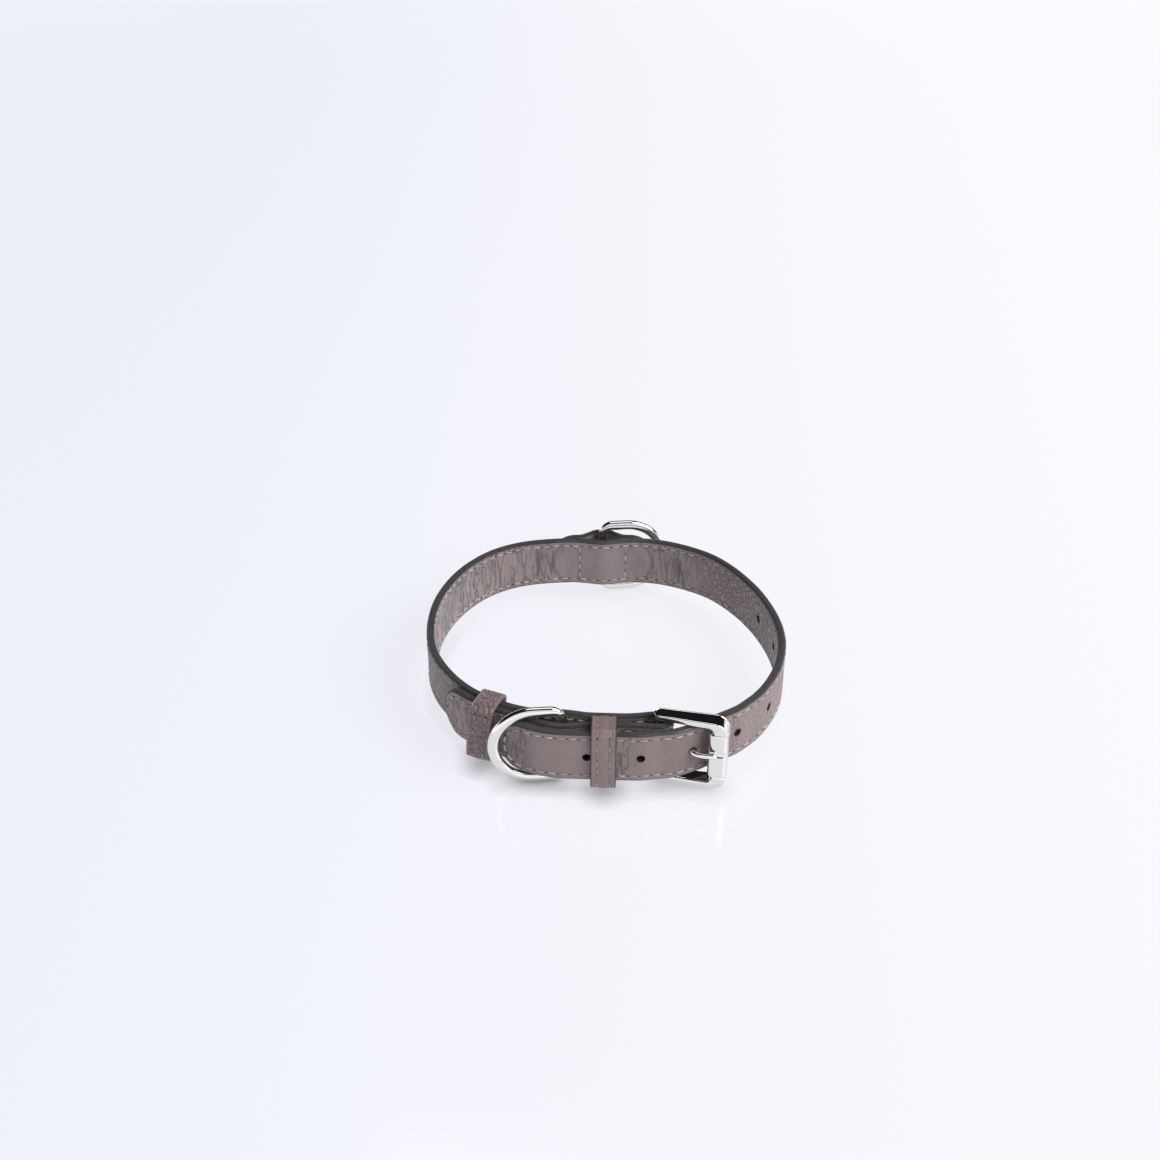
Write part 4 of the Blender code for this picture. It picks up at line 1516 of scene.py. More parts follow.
class Wardrobe:
    """Every finish of the collar, built once."""

    def __init__(self) -> None:
        """Builds the materials."""
        effects = Effects()
        self.strap = LeatherFinish("strap_leather").material(effects)
        self.keeper = LeatherFinish(
            "keeper_leather",
            outside=(0.228, 0.168, 0.162),
            pebbles=0.15,
            grain_size=1100.0,
            paint_reach=0.20 * MM,
            roughness=0.34,
        ).material(effects)
        self.side_keeper = LeatherFinish(
            "side_keeper_leather",
            outside=(0.225, 0.160, 0.158),
            paint=(0.330, 0.215, 0.225),
            paint_reach=0.70 * MM,
            worn=0.8,
        ).material(effects)
        self.patch = LeatherFinish("patch_leather").material(effects)
        self.chrome = ChromeFinish("polished_chrome").material(effects)
        self.thread = ThreadFinish("waxed_thread").material()
        self.keeper_thread = ThreadFinish(
            "keeper_thread", colour=(0.42, 0.335, 0.33), shade=(0.16, 0.12, 0.118), roughness=0.30
        ).material()
        # Painted shade for the needle holes
        self.hole = HoleShadeFinish("needle_hole").material()
        self.floor = FloorFinish("pale_sheet").material()


def dress(obj: bpy.types.Object, material: bpy.types.Material, body: str) -> None:
    """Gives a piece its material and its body.

    Args:
        obj: the piece.
        material: its finish.
        body: the body that it rides on.
    """
    obj.data.materials.clear()
    obj.data.materials.append(material)
    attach(obj, body)
    log.info("%s: %d points, rides on %s", obj.name, len(obj.data.vertices), body)


# Leather pieces


@dataclass
class CollarStrap:
    """The strap with its punched holes, rows of stitches, creases and imprints."""

    way: StrapWay
    finish: Wardrobe
    end_round: float = 9.0 * MM
    rim_radius: float = 0.90 * MM
    spacing: float = 0.48 * MM
    hole_diameter: float = 3.0 * MM
    hole_pitch: float = 17.95 * MM
    holes_before: int = 5
    holes_after: int = 2
    prong_hole_share: float = 0.56
    prong_ease: float = 0.6 * MM
    wave_height: float = 0.055 * MM
    ripple_height: float = 0.022 * MM
    groove_depth: float = 0.10 * MM
    swell_height: float = 0.05 * MM
    imprint_depth: float = 0.20 * MM
    seed: int = 11
    thread: Thread = field(default_factory=Thread)

    def __post_init__(self) -> None:
        """Works out the strip, its marks and its creases."""
        way = self.way
        self.half = way.width / 2
        self.row = self.half - STITCH_INSET
        self.patch_along = way.neck_along(PATCH_TURN)
        self.keeper_along = way.neck_along(1 + FRONT_KEEPER_TURN)
        self.tip_along = way.length
        self.buckle_along = way.neck_along(way.tail_turn(-0.4 * way.buckle_length))
        self.waves = Waves(self.seed, 34 * MM, 7 * MM)
        self.ripples = Waves(self.seed + 1, 9 * MM, 2.2 * MM)
        self.creases = self._creases()
        path = Path.in_plan(way.line, way.middle)
        rim = Rim(way.thick, self.rim_radius, face_shares(0.045))
        self.strip = Strip(
            "collar_strap", path, self.half, rim, self.end_round, self.spacing, self.relief
        )
        line = way.middle_line(way.neck)
        ahead = (line - way.hinge) @ FRAME_ALONG
        tail = len(line) * 2 // 3
        self.hole_index = tail + int(
            np.argmin(np.abs(ahead[tail:] - self.prong_hole_share * way.buckle_length))
        )
        self.neck_line = line
        self.hole_marks = self._hole_marks()

    def _hole_marks(self) -> Array:
        """Distances along the neck line of the punched holes, the prong's own left out."""
        middle = lengths(self.neck_line)[self.hole_index]
        steps = np.arange(-self.holes_before, self.holes_after + 1)
        return middle + steps[steps != 0] * self.hole_pitch

    def _creases(self) -> Array:
        """Rows of place, width, depth, slant, middle and reach of each crease.

        Returns:
            One row a crease, with the face it is on last: 1 outside, -1 inside.
        """
        draw = np.random.default_rng(self.seed + 2)
        rows = []
        neck = self.way.neck_along
        zones = (
            # middle along, spread, count, greatest depth in mm, face
            (self.patch_along - 33 * MM, 12 * MM, 20, 0.15, -1),
            (self.patch_along - 48 * MM, 16 * MM, 16, 0.12, -1),
            (self.patch_along + 32 * MM, 11 * MM, 18, 0.15, -1),
            (self.patch_along, 8 * MM, 5, 0.07, -1),
            (self.patch_along - 90 * MM, 26 * MM, 26, 0.14, -1),
            (self.patch_along + 75 * MM, 34 * MM, 24, 0.14, -1),
            (self.keeper_along - 6.0 * MM, 3.5 * MM, 7, 0.09, 1),
            (self.tip_along - 8 * MM, 6 * MM, 9, 0.08, 1),
            (neck(0.83), 26 * MM, 22, 0.10, 1),
            (neck(0.16), 24 * MM, 16, 0.12, 1),
        )
        for middle, spread, count, depth, face in zones:
            rows.append(
                np.column_stack(
                    [
                        middle + draw.uniform(-1, 1, count) * spread,
                        draw.uniform(0.38, 0.75, count) * MM,
                        draw.uniform(0.35, 1.0, count) * depth * MM,
                        draw.normal(0, 0.16, count),
                        draw.uniform(-5, 5, count) * MM,
                        draw.uniform(3, 9, count) * MM,
                        np.full(count, face),
                    ]
                )
            )
        return np.concatenate(rows)

    def relief(self, along: Array, across: Array, side: Array) -> Array:
        """Height of the leather over its plain face.

        It adds slow waves, short ripples, folds as thin valleys that
        lean a little and fade at their ends, the groove that the thread pulls, and the
        patch's round ends pressed through to the inner face.

        Args:
            along: distances along the strip.
            across: distances over its width.
            side: 1 outside, -1 inside, between them on the rims.

        Returns:
            The heights.
        """
        out = np.maximum(side, 0)
        inner = np.maximum(-side, 0)
        level = self.wave_height * self.waves.at(along + inner, across)
        level += self.ripple_height * self.ripples.at(along, across + inner)
        level -= self.fold_depth(along, across, side)
        groove = bump(np.abs(across), self.row, 0.62 * MM) * np.maximum(np.abs(side) - 0.5, 0) * 2
        seam = bump(np.abs(along - self.patch_along), PATCH_SEAM, 0.55 * MM)
        level -= self.groove_depth * (groove + seam * inner)
        level += self.swell_height * bump(np.abs(across), self.half - 1.2 * MM, 0.6 * MM) * (out + inner)
        level -= self._imprint(along, across) * inner
        return level

    def fold_depth(self, along: Array, across: Array, side: Array) -> Array:
        """Depth of all creases: thin valleys that lean, waver and fade, each with a swell.

        Args:
            along: distances along the strip.
            across: distances over its width.
            side: 1 outside, -1 inside.

        Returns:
            The depths, below zero on the swells.
        """
        depth = np.zeros(np.broadcast(along, across, side).shape)
        for place, width, deep, slant, middle, reach, face in self.creases:
            waver = 0.5 * MM * np.sin(across / (2.3 * MM) + place / MM)
            centre = place + slant * (across - middle) + waver
            near = (np.abs(along - place) < 6 * MM) * np.maximum(side * face, 0)
            fold = bump(along, centre, width) - 0.5 * bump(along, centre + 1.7 * width, 1.2 * width)
            depth += near * deep * bump(across, middle, reach) * fold
        return depth

    def _imprint(self, along: Array, across: Array) -> Array:
        """Depth of the patch's outline on the inner face: a soft step at its round ends."""
        reach = np.sqrt(np.maximum(1 - np.minimum(np.abs(across) / self.half, 1) ** 2, 0))
        end = PATCH_LENGTH / 2 - self.half * (1 - reach)
        past = np.abs(along - self.patch_along) - end
        edge = self.imprint_depth * bump(past, 0.0, 0.8 * MM)
        return edge - 0.6 * self.imprint_depth * ramp(-past, 0.0, 3 * MM)

    def seam(self) -> Array:
        """The closed line of the edge stitches, in along and across.

        It runs the inset inside the outline, and goes round both ends on quarter ellipses.

        Returns:
            Points of the line, the first one repeated.
        """
        long = self.end_round - STITCH_INSET
        angle = np.linspace(-math.pi / 2, math.pi / 2, 41)
        start = np.column_stack([self.end_round - long * np.cos(angle), self.row * np.sin(angle)])
        end = np.column_stack(
            [self.way.length - self.end_round + long * np.cos(angle), -self.row * np.sin(angle)]
        )
        return np.concatenate([start, end, start[:1]])

    def cutters(self) -> bpy.types.Object:
        """One object of all that is cut out: punched holes, the prong's hole and its slot."""
        shape = bmesh.new()
        marks = lengths(self.neck_line)
        half_cut = 1.5 * self.way.thick
        for mark in self.hole_marks:
            near = np.array([mark - MM, mark, mark + MM])
            near = np.stack([np.interp(near, marks, self.neck_line[:, a]) for a in (0, 1)], -1)
            ahead = unit(near[2] - near[0])
            aside = np.array([-ahead[1], ahead[0], 0.0])
            centre = np.array([*near[1], self.way.middle])
            first, last = centre - half_cut * aside, centre + half_cut * aside
            shape.from_mesh(tube("hole", first, last, self.hole_diameter / 2))
        hole = self.neck_line[self.hole_index]
        prong = prong_line(self.way, hole)
        nearest = int(np.argmin(np.linalg.norm(prong - hole, axis=1)))
        ahead = np.array([*unit(prong[nearest + 1] - prong[nearest - 1]), 0.0])
        centre = np.array([*hole, self.way.middle])
        room = PRONG_WIRE / 2 + self.prong_ease
        shape.from_mesh(tube("prong_hole", centre - half_cut * ahead, centre + half_cut * ahead, room))
        eye = (self.way.hinge_bar + PRONG_WIRE) / 2 + self.way.clear + room
        fold = self.way.fold_radius + self.way.thick / 2 + self.way.clear
        x, y = self.way.hinge
        low = np.array([x - eye, y - fold, self.way.middle - room])
        high = np.array([x + fold, y + fold, self.way.middle + room])
        shape.from_mesh(box_mesh("slot", low, high))
        mesh = bpy.data.meshes.new("cutters")
        shape.to_mesh(mesh)
        shape.free()
        return add_object("cutters", mesh)

    def paint_values(self, obj: bpy.types.Object) -> None:
        """Writes how dark, how wrinkled and how hollow the leather is at each point.

        The tail's outer face gets painted shade towards its tip and towards the buckle, the right
        side's outer face gets painted light and is coarser, and the inner face is coarse on the right,
        has a painted sheen on the left and is lighter past the back. The hollow attribute is painted
        shade along creases, stitch grooves, the patch's seams and its imprint.

        Args:
            obj: the strap.
        """
        mesh = obj.data
        along, across, side = (read_value(mesh, name) for name in ("along", "across", "side"))
        neck = self.way.neck_along
        outer = np.maximum(side, 0)
        inner = np.maximum(-side, 0)
        right = ramp(along, neck(0.66), neck(0.76)) * (1 - ramp(along, neck(0.90), neck(0.93)))
        left = 1 - ramp(along, neck(0.20), neck(0.30))
        tail = ramp(along, neck(0.94), neck(0.96))
        # Painted shade on the tail's outer face, towards its tip and towards the buckle
        tone = -0.22 * ramp(along, self.tip_along - 17 * MM, self.tip_along - 4 * MM) * outer
        tone -= 0.20 * bump(along, self.buckle_along, 7 * MM) * outer
        # Painted light on the right side's outer face and a painted sheen on the inner face on the left; the
        # inner face is also lighter past the back
        tone += 0.10 * right * outer
        tone += 0.12 * (1 - ramp(along, neck(0.24), neck(0.36))) * inner
        tone += 0.12 * ramp(along, neck(0.52), neck(0.62)) * inner
        wrinkled = (0.45 * right + 0.40 * left) * outer * (1 - tail)
        coarse = ramp(along, self.patch_along + 28 * MM, self.patch_along + 52 * MM)
        wrinkled += 1.0 * coarse * inner
        behind = 1 - 0.7 * ramp(along, self.patch_along - 21 * MM, self.patch_along - 18 * MM)
        behind *= 1 - ramp(along, self.patch_along - 10 * MM, self.patch_along - 8 * MM)
        before = 0.3 * ramp(along, self.patch_along + 8 * MM, self.patch_along + 10 * MM)
        before += 0.7 * ramp(along, self.patch_along + 18 * MM, self.patch_along + 21 * MM)
        creased = (0.85 * behind + 0.75 * before * (1 - 0.4 * coarse)) * inner
        creased += 0.75 * bump(along, self.keeper_along - 6.5 * MM, 4.5 * MM) * outer
        creased += 0.80 * ramp(along, self.tip_along - 15 * MM, self.tip_along - 8 * MM) * outer
        creased += (0.25 * right + 0.65 * left) * outer * (1 - tail)
        # Painted shade: the hollow attribute darkens the dye along creases, the stitch grooves, the patch's
        # seams and its imprint
        hollow = np.clip(self.fold_depth(along, across, side) / (0.26 * MM), 0, 1)
        groove = bump(np.abs(across), self.row, 0.55 * MM) * (outer + inner)
        seam = bump(np.abs(along - self.patch_along), PATCH_SEAM, 0.5 * MM) * inner
        hollow += 0.30 * groove + 0.45 * seam
        hollow += np.clip(self._imprint(along, across) / self.imprint_depth, 0, 1) * inner
        set_value(mesh, "tone", tone)
        set_value(mesh, "wrinkled", wrinkled)
        set_value(mesh, "creased", creased)
        set_value(mesh, "hollow", np.clip(hollow, 0, 1))

    def build(self) -> None:
        """Makes the strap, its stitches and its needle holes."""
        obj = self.strip.build()
        cut(obj, self.cutters(), Cut.AWAY)
        self.paint_values(obj)
        sharpened(obj, 50)
        dress(obj, self.finish.strap, "collar")
        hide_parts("strap")
        sewing = Sewing(self.strip, self.thread, self.seed + 5)
        knots = even_marks(self.seam(), self.thread.pitch)
        for side in (1.0, -1.0):
            sewing.sew(knots, side)
        for turn in (-1, 1):
            place = self.patch_along + turn * PATCH_SEAM
            line = np.array([[place, -self.row], [place, self.row]])
            sewing.sew(even_marks(line, self.thread.pitch), -1.0)
        stitches, holes = sewing.build("strap")
        dress(stitches, self.finish.thread, "collar")
        dress(holes, self.finish.hole, "collar")


def box_mesh(name: str, low: Array, high: Array) -> bpy.types.Mesh:
    """A closed box between two corners."""
    x, y, z = np.meshgrid([0, 1], [0, 1], [0, 1], indexing="ij")
    corners = np.stack([x, y, z], -1).reshape(-1, 3)
    points = low + corners * (high - low)
    faces = [(0, 1, 3, 2), (4, 6, 7, 5), (0, 4, 5, 1), (2, 3, 7, 6), (0, 2, 6, 4), (1, 5, 7, 3)]
    return closed_mesh(mesh_of(name, points, faces))


@dataclass
class BackPatch:
    """The patch that holds the back ring, raised over its bar and sewn at both sides."""

    way: StrapWay
    finish: Wardrobe
    thick: float = 2.0 * MM
    rim_radius: float = 0.8 * MM
    wave_height: float = 0.04 * MM
    ripple_height: float = 0.02 * MM
    rise: tuple[tuple[float, float], ...] = (
        (-1.000, 0.0),
        (-0.720, 0.0),
        (-0.440, 0.0),
        (-0.270, 0.42),
        (-0.120, 0.96),
        (0.000, 1.0),
        (0.120, 0.96),
        (0.270, 0.42),
        (0.440, 0.0),
        (0.720, 0.0),
        (1.000, 0.0),
    )
    seed: int = 31
    thread: Thread = field(default_factory=Thread)

    def line(self) -> Array:
        """Plan line of the patch's middle: flat at its ends, raised over the ring's bar."""
        loop = self.way.loop
        half = PATCH_LENGTH / 2 / loop.length
        flat = self.way.thick + self.way.clear + self.thick / 2
        bar = self.way.thick + self.way.clear + RING_PLAY + RING_BAR / 2
        full = bar + RING_BAR / 2 + self.way.clear + self.thick / 2 - flat
        rows = [(PATCH_TURN + share * half, flat + rise * full) for share, rise in self.rise]
        course = loop.eased(rows)
        return softened(loop.place(course[:, 0], course[:, 1]), 0.25 * MM, 0.6 * MM)

    def relief(self, along: Array, across: Array, side: Array) -> Array:
        """Height of the leather: slow waves and short ripples on the outer face.

        Args:
            along: distances along the patch.
            across: distances over its width.
            side: 1 outside, -1 inside.

        Returns:
            The heights.
        """
        level = self.wave_height * self.waves.at(along, across)
        level += self.ripple_height * self.ripples.at(along, across)
        return level * np.maximum(side, 0)

    def build(self) -> None:
        """Makes the patch and its stitches."""
        self.waves = Waves(self.seed, 20 * MM, 6 * MM)
        self.ripples = Waves(self.seed + 1, 6 * MM, 2 * MM)
        path = Path.in_plan(self.line(), self.way.middle)
        half = self.way.width / 2
        rim = Rim(self.thick, self.rim_radius, face_shares(0.06))
        strip = Strip("back_ring_patch", path, half, rim, half, 0.6 * MM, self.relief)
        obj = strip.build()
        plain_values(obj.data, -0.10, 0.3, 0.5)
        dress(obj, self.finish.patch, "collar")
        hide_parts("back_patch")
        sewing = Sewing(strip, self.thread, self.seed + 2)
        reach = half - STITCH_INSET
        angle = np.linspace(-math.pi / 2, math.pi / 2, 41)
        middle = path.length / 2
        for turn in (-1, 1):
            centre = middle + turn * (path.length / 2 - half)
            arc = np.column_stack([centre + turn * reach * np.cos(angle), reach * np.sin(angle)])
            inner = middle + turn * PATCH_SEAM
            seam = np.concatenate([[[inner, -reach]], arc, [[inner, reach]]])
            sewing.sew(even_marks(seam, self.thread.pitch), 1.0)
            across = np.array([[inner, reach], [inner, -reach]])
            sewing.sew(even_marks(across, self.thread.pitch), 1.0)
        stitches, holes = sewing.build("patch")
        dress(stitches, self.finish.thread, "collar")
        dress(holes, self.finish.hole, "collar")


def rounded_ring(
    half_out: float, half_up: float, radius: float, bulge: float, sag: float
) -> tuple[Array, Array]:
    """A rounded rectangle as a closed line, with its outward normals.

    Each corner is a quarter circle. The outer side bows out with a cosine over its height,
    and the lower side hangs down with a cosine over its depth.

    Args:
        half_out: half of its size outwards.
        half_up: half of its height.
        radius: radius of the corners.
        bulge: how far the outer side bows out.
        sag: how far the lower side hangs.

    Returns:
        Points as out and up, the first repeated, and the normals there.
    """
    corners = []
    for turn, (out, up) in enumerate(((1, 1), (-1, 1), (-1, -1), (1, -1))):
        angle = np.linspace(0, math.pi / 2, 9) + turn * math.pi / 2
        centre = np.array([out * (half_out - radius), up * (half_up - radius)])
        corners.append(centre + radius * np.column_stack([np.cos(angle), np.sin(angle)]))
    line = np.concatenate([*corners, corners[0][:1]])
    marks = lengths(line)
    even = np.linspace(0, marks[-1], 260)
    line = np.stack([np.interp(even, marks, line[:, axis]) for axis in (0, 1)], -1)
    outer = ramp(line[:, 0], 0.0, half_out)
    lower = ramp(-line[:, 1], 0.0, half_up)
    line[:, 0] += bulge * outer * np.cos(np.clip(line[:, 1] / half_up, -1, 1) * math.pi / 2)
    line[:, 1] -= sag * lower
    ahead = unit(np.roll(line[:-1], -1, axis=0) - np.roll(line[:-1], 1, axis=0))
    normals = np.column_stack([ahead[:, 1], -ahead[:, 0]])
    normals = np.concatenate([normals, normals[:1]])
    return line, normals


@dataclass
class KeeperLoop:
    """A leather loop round the strap's layers, with two rows of stitches."""

    name: str
    node: str
    way: StrapWay
    turn: float
    skew: float
    inner: float
    outer: float
    height: float
    material: bpy.types.Material
    finish: Wardrobe
    width: float = 8.6 * MM
    thick: float = 1.2 * MM
    ease: float = 0.65 * MM
    corner: float = 1.7 * MM
    bulge: float = 0.0
    sag: float = 0.0
    lean: float = 0.0
    stitch_rows: float = 2.1 * MM
    wrinkled: float = 0.12
    seed: int = 41
    thread: Thread = field(default_factory=lambda: Thread(pitch=3.2 * MM, radius=0.24 * MM, gap=0.8 * MM))

    def path(self) -> Path:
        """The closed line of the loop's middle, in the upright plane that it faces."""
        loop = self.way.loop
        outward = loop.outward(np.asarray(self.turn))
        cosine, sine = math.cos(self.skew), math.sin(self.skew)
        x, y = outward
        facing = np.array([cosine * x - sine * y, sine * x + cosine * y, 0.0])
        aside = np.array([facing[1], -facing[0], 0.0])
        centre = np.array([*loop.place(self.turn, (self.inner + self.outer) / 2), self.height])
        half_out = (self.outer - self.inner + self.thick) / 2
        half_up = (self.way.width + self.thick) / 2 + self.ease
        line, normals = rounded_ring(half_out, half_up, self.corner, self.bulge, self.sag)
        up = np.array([0.0, 0.0, 1.0])
        points = centre + line[:, :1] * facing + line[:, 1:] * (up + self.lean * aside)
        normals = normals[:, :1] * facing + normals[:, 1:] * up
        return Path(points, normals, aside, closed=True)

    def relief(self, along: Array, across: Array, side: Array) -> Array:
        """Height of the leather: waves, a swell between the stitch rows and their grooves.

        Args:
            along: distances round the loop.
            across: distances over its width.
            side: 1 outside, -1 inside.

        Returns:
            The heights.
        """
        out = np.maximum(side, 0)
        turned = FULL_TURN * along / self.length
        level = 0.05 * MM * self.waves.at(8 * MM * np.cos(turned), across + 8 * MM * np.sin(turned))
        level += 0.10 * MM * bump(across, 0.0, 1.3 * MM)
        level -= 0.11 * MM * bump(np.abs(across), self.stitch_rows, 0.5 * MM)
        return level * out

    def build(self) -> None:
        """Makes the loop and its stitches."""
        self.waves = Waves(self.seed, 14 * MM, 3 * MM)
        path = self.path()
        self.length = path.length
        shares = tuple(np.linspace(1, -1, 19))
        rim = Rim(self.thick, 0.5 * MM, shares)
        strip = Strip(self.name, path, self.width / 2, rim, 0.0, 0.45 * MM, self.relief)
        obj = strip.build()
        plain_values(obj.data, 0.0, self.wrinkled, 0.0)
        dress(obj, self.material, "collar")
        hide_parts(self.node)
        sewing = Sewing(strip, self.thread, self.seed + 2)
        for edge in (-1, 1):
            line = np.array([[0.0, edge * self.stitch_rows], [path.length, edge * self.stitch_rows]])
            sewing.sew(even_marks(line, self.thread.pitch), 1.0)
        stitches, holes = sewing.build(self.name)
        dress(stitches, self.finish.keeper_thread, "collar")
        dress(holes, self.finish.hole, "collar")


# Metal pieces

BUCKLE_TILT = math.radians(12.2)
FRAME_ALONG = np.array([math.cos(BUCKLE_TILT), -math.sin(BUCKLE_TILT)])
FRAME_OUT = np.array([-math.sin(BUCKLE_TILT), -math.cos(BUCKLE_TILT)])
PRONG_SEAT = 3.6 * MM
PRONG_REST = ((0.475, 0.10), (0.560, 0.68), (0.690, 1.06), (0.840, 1.10), (0.985, 1.00))


def prong_line(way: StrapWay, hole: Array) -> Array:
    """Plan line of the prong: a spline from its eye through its hole to its seat.

    Args:
        way: the strap's way.
        hole: plan point of the hole that it comes out of.

    Returns:
        The line.
    """
    out = unit(hole - way.hinge)
    eye = way.hinge + out * ((way.hinge_bar + PRONG_WIRE) / 2 + way.clear)
    rest = [
        way.hinge + FRAME_ALONG * along * way.buckle_length + FRAME_OUT * rise * PRONG_SEAT
        for along, rise in PRONG_REST
    ]
    return spline(np.array([eye, *rest]), per_span=12)


def superellipse(around: int, power: float) -> Array:
    """Points round a unit superellipse: cosine and sine with the power 2/p, signs kept.

    Args:
        around: number of points.
        power: 2 gives a circle, and more gives flatter sides.

    Returns:
        Points by row.
    """
    angle = np.linspace(0, FULL_TURN, around, endpoint=False)
    x, y = np.cos(angle), np.sin(angle)
    return np.column_stack(
        [np.sign(x) * np.abs(x) ** (2 / power), np.sign(y) * np.abs(y) ** (2 / power)]
    )


def rounded_section(
    half_a: Array, half_b: Array, radii: tuple[float, float, float, float], steps: int = 7
) -> Array:
    """Rounded rectangles, one for each row of sizes.

    Args:
        half_a: half size in the first direction.
        half_b: half size in the second direction.
        radii: radius of each corner, from the one where both directions grow and on round
            through the second direction. It gives way where the size is too small for it.
        steps: points on each corner's quarter circle.

    Returns:
        Points by row, by place round the section.
    """
    parts = []
    for turn, (a, b) in enumerate(((1, 1), (-1, 1), (-1, -1), (1, -1))):
        radius = np.minimum(radii[turn], np.minimum(half_a, half_b) * 0.95)
        angle = np.linspace(0, math.pi / 2, steps) + turn * math.pi / 2
        x = a * (half_a - radius)[:, None] + radius[:, None] * np.cos(angle)
        y = b * (half_b - radius)[:, None] + radius[:, None] * np.sin(angle)
        parts.append(np.stack([x, y], -1))
    return np.concatenate(parts, axis=1)


@dataclass
class Buckle:
    """The cast frame with its hinge bar and thick outer bar, and the prong."""

    way: StrapWay
    finish: Wardrobe
    hole: Array
    ease: float = 1.55 * MM
    drop: float = 1.05 * MM
    rim: float = 2.4 * MM
    heel: float = 1.9 * MM
    corner: float = 4.6 * MM
    depth_at_heel: float = 4.6 * MM
    depth_at_bar: float = 5.7 * MM
    outer_bar: float = 6.0 * MM
    outer_core: float = 3.6 * MM
    shoulder: float = 2.2 * MM
    edge: float = 0.42 * MM
    inner_edge: float = 0.85 * MM
    bead: float = 0.45 * MM
    bead_proud: float = 0.14 * MM
    corner_out: float = 2.95 * MM
    bar_swell: float = 0.75 * MM
    core_depth: float = 1.2 * MM
    heel_round: float = 0.92
    bar_shift: float = 0.15 * MM
    bar_round: float = 0.9 * MM
    tip_flat: float = 0.12

    def __post_init__(self) -> None:
        """Works out the frame's heights."""
        self.half = self.way.width / 2 + self.ease + self.rim
        self.inside = self.half - self.rim
        self.height = self.way.middle - self.drop
        self.length = self.way.buckle_length

    def place(self, along: Array, out: Array, up: Array) -> Array:
        """Points in the buckle: along it from the hinge, out of its plane, and up.

        Args:
            along: distances from the hinge bar.
            out: distances out of the plane.
            up: heights over its middle.

        Returns:
            The points.
        """
        along, out, up = np.broadcast_arrays(along, out, up)
        plan = self.way.hinge + along[..., None] * FRAME_ALONG + out[..., None] * FRAME_OUT
        return np.concatenate([plan, (self.height + up)[..., None]], -1)

    def sides(self) -> tuple[Array, Array]:
        """Outer and inner outlines of the frame from heel to heel, row by row.

        Both are straight sides with quarter circles between them, with the same number of
        rows on each part.

        Returns:
            Points as along and up.
        """
        left = -self.heel
        right = self.length + self.corner_out
        window = self.length - self.outer_core / 2
        outlines = []
        for x, y, radius in ((right, self.half, self.corner), (window, self.inside, self.corner - self.rim)):
            share = np.linspace(0, 1, 24)[:-1, None]
            rim = (1 - share) * [left, y] + share * [x - radius, y]
            angle = np.linspace(math.pi / 2, 0, 19)[:, None]
            arc = [x - radius, y - radius] + radius * np.concatenate([np.cos(angle), np.sin(angle)], 1)
            drop = np.linspace(0, 1, 9)[1:-1, None]
            side = (1 - drop) * [x, y - radius] + drop * [x, 0.0]
            upper = np.concatenate([rim, arc, side])
            lower = upper[::-1] * [1, -1]
            outlines.append(np.concatenate([upper, [[x, 0.0]], lower]))
        return outlines[0], outlines[1]

    def frame_meshes(self) -> list[bpy.types.Mesh]:
        """The C of rims and core, and the bead along the back of its outer edge.

        The C is rounded rectangles carried between the two outlines. Its depth grows from heel
        to bar with a smooth step, and shrinks at both heels on a quarter circle, which rounds
        them in plan. Inside the outer bar it is thin, so that the prong's seat stays open.

        Returns:
            Two closed meshes.
        """
        outer, inner = self.sides()
        middle = (outer + inner) / 2
        spoke = outer - inner
        half_a = np.linalg.norm(spoke, axis=1) / 2
        spoke = unit(spoke)
        grown = ramp(middle[:, 0], -self.heel, self.length)
        half_b = ((1 - grown) * self.depth_at_heel + grown * self.depth_at_bar) / 2
        bead_row = outer - spoke * (self.bead - self.bead_proud)
        bead_out = -(half_b - 0.8 * self.bead)
        reach = self.inside - self.shoulder
        hidden = 1 - ramp(np.abs(middle[:, 1]), reach - 2.0 * MM, reach - 0.8 * MM)
        half_b = half_b + hidden * (self.core_depth / 2 - half_b)
        half_a = half_a + hidden * (self.outer_core / 2 - half_a)
        middle = middle + (hidden * (self.length - middle[:, 0]))[:, None] * [1.0, 0.0]
        angle = np.linspace(0, math.pi / 2, 10)[:-1]
        heel = self.depth_at_heel / 2 * self.heel_round
        back = heel * (1 - np.cos(angle))
        shrunk = 1 - np.sin(angle)
        for rows in (np.arange(len(angle)), -1 - np.arange(len(angle))):
            middle[rows, 0] = -self.heel + back
            bead_row[rows, 0] = -self.heel + back
            half_b[rows] -= heel * shrunk
            bead_out[rows] += heel * shrunk
            half_a[rows] -= 0.35 * self.edge * shrunk
        section = rounded_section(half_a, half_b, (self.edge, self.inner_edge, self.edge, self.edge))
        plane = middle[:, None, :] + section[..., :1] * spoke[:, None, :]
        body = self.place(plane[..., 0], section[..., 1], plane[..., 1])
        ring = superellipse(16, 2.0) * self.bead
        plane = bead_row[:, None, :] + ring[None, :, :1] * spoke[:, None, :]
        bead = self.place(plane[..., 0], bead_out[:, None] + ring[None, :, 1], plane[..., 1])
        return [lofted("buckle_frame_c", body, wrap=False), lofted("bead", bead, wrap=False)]

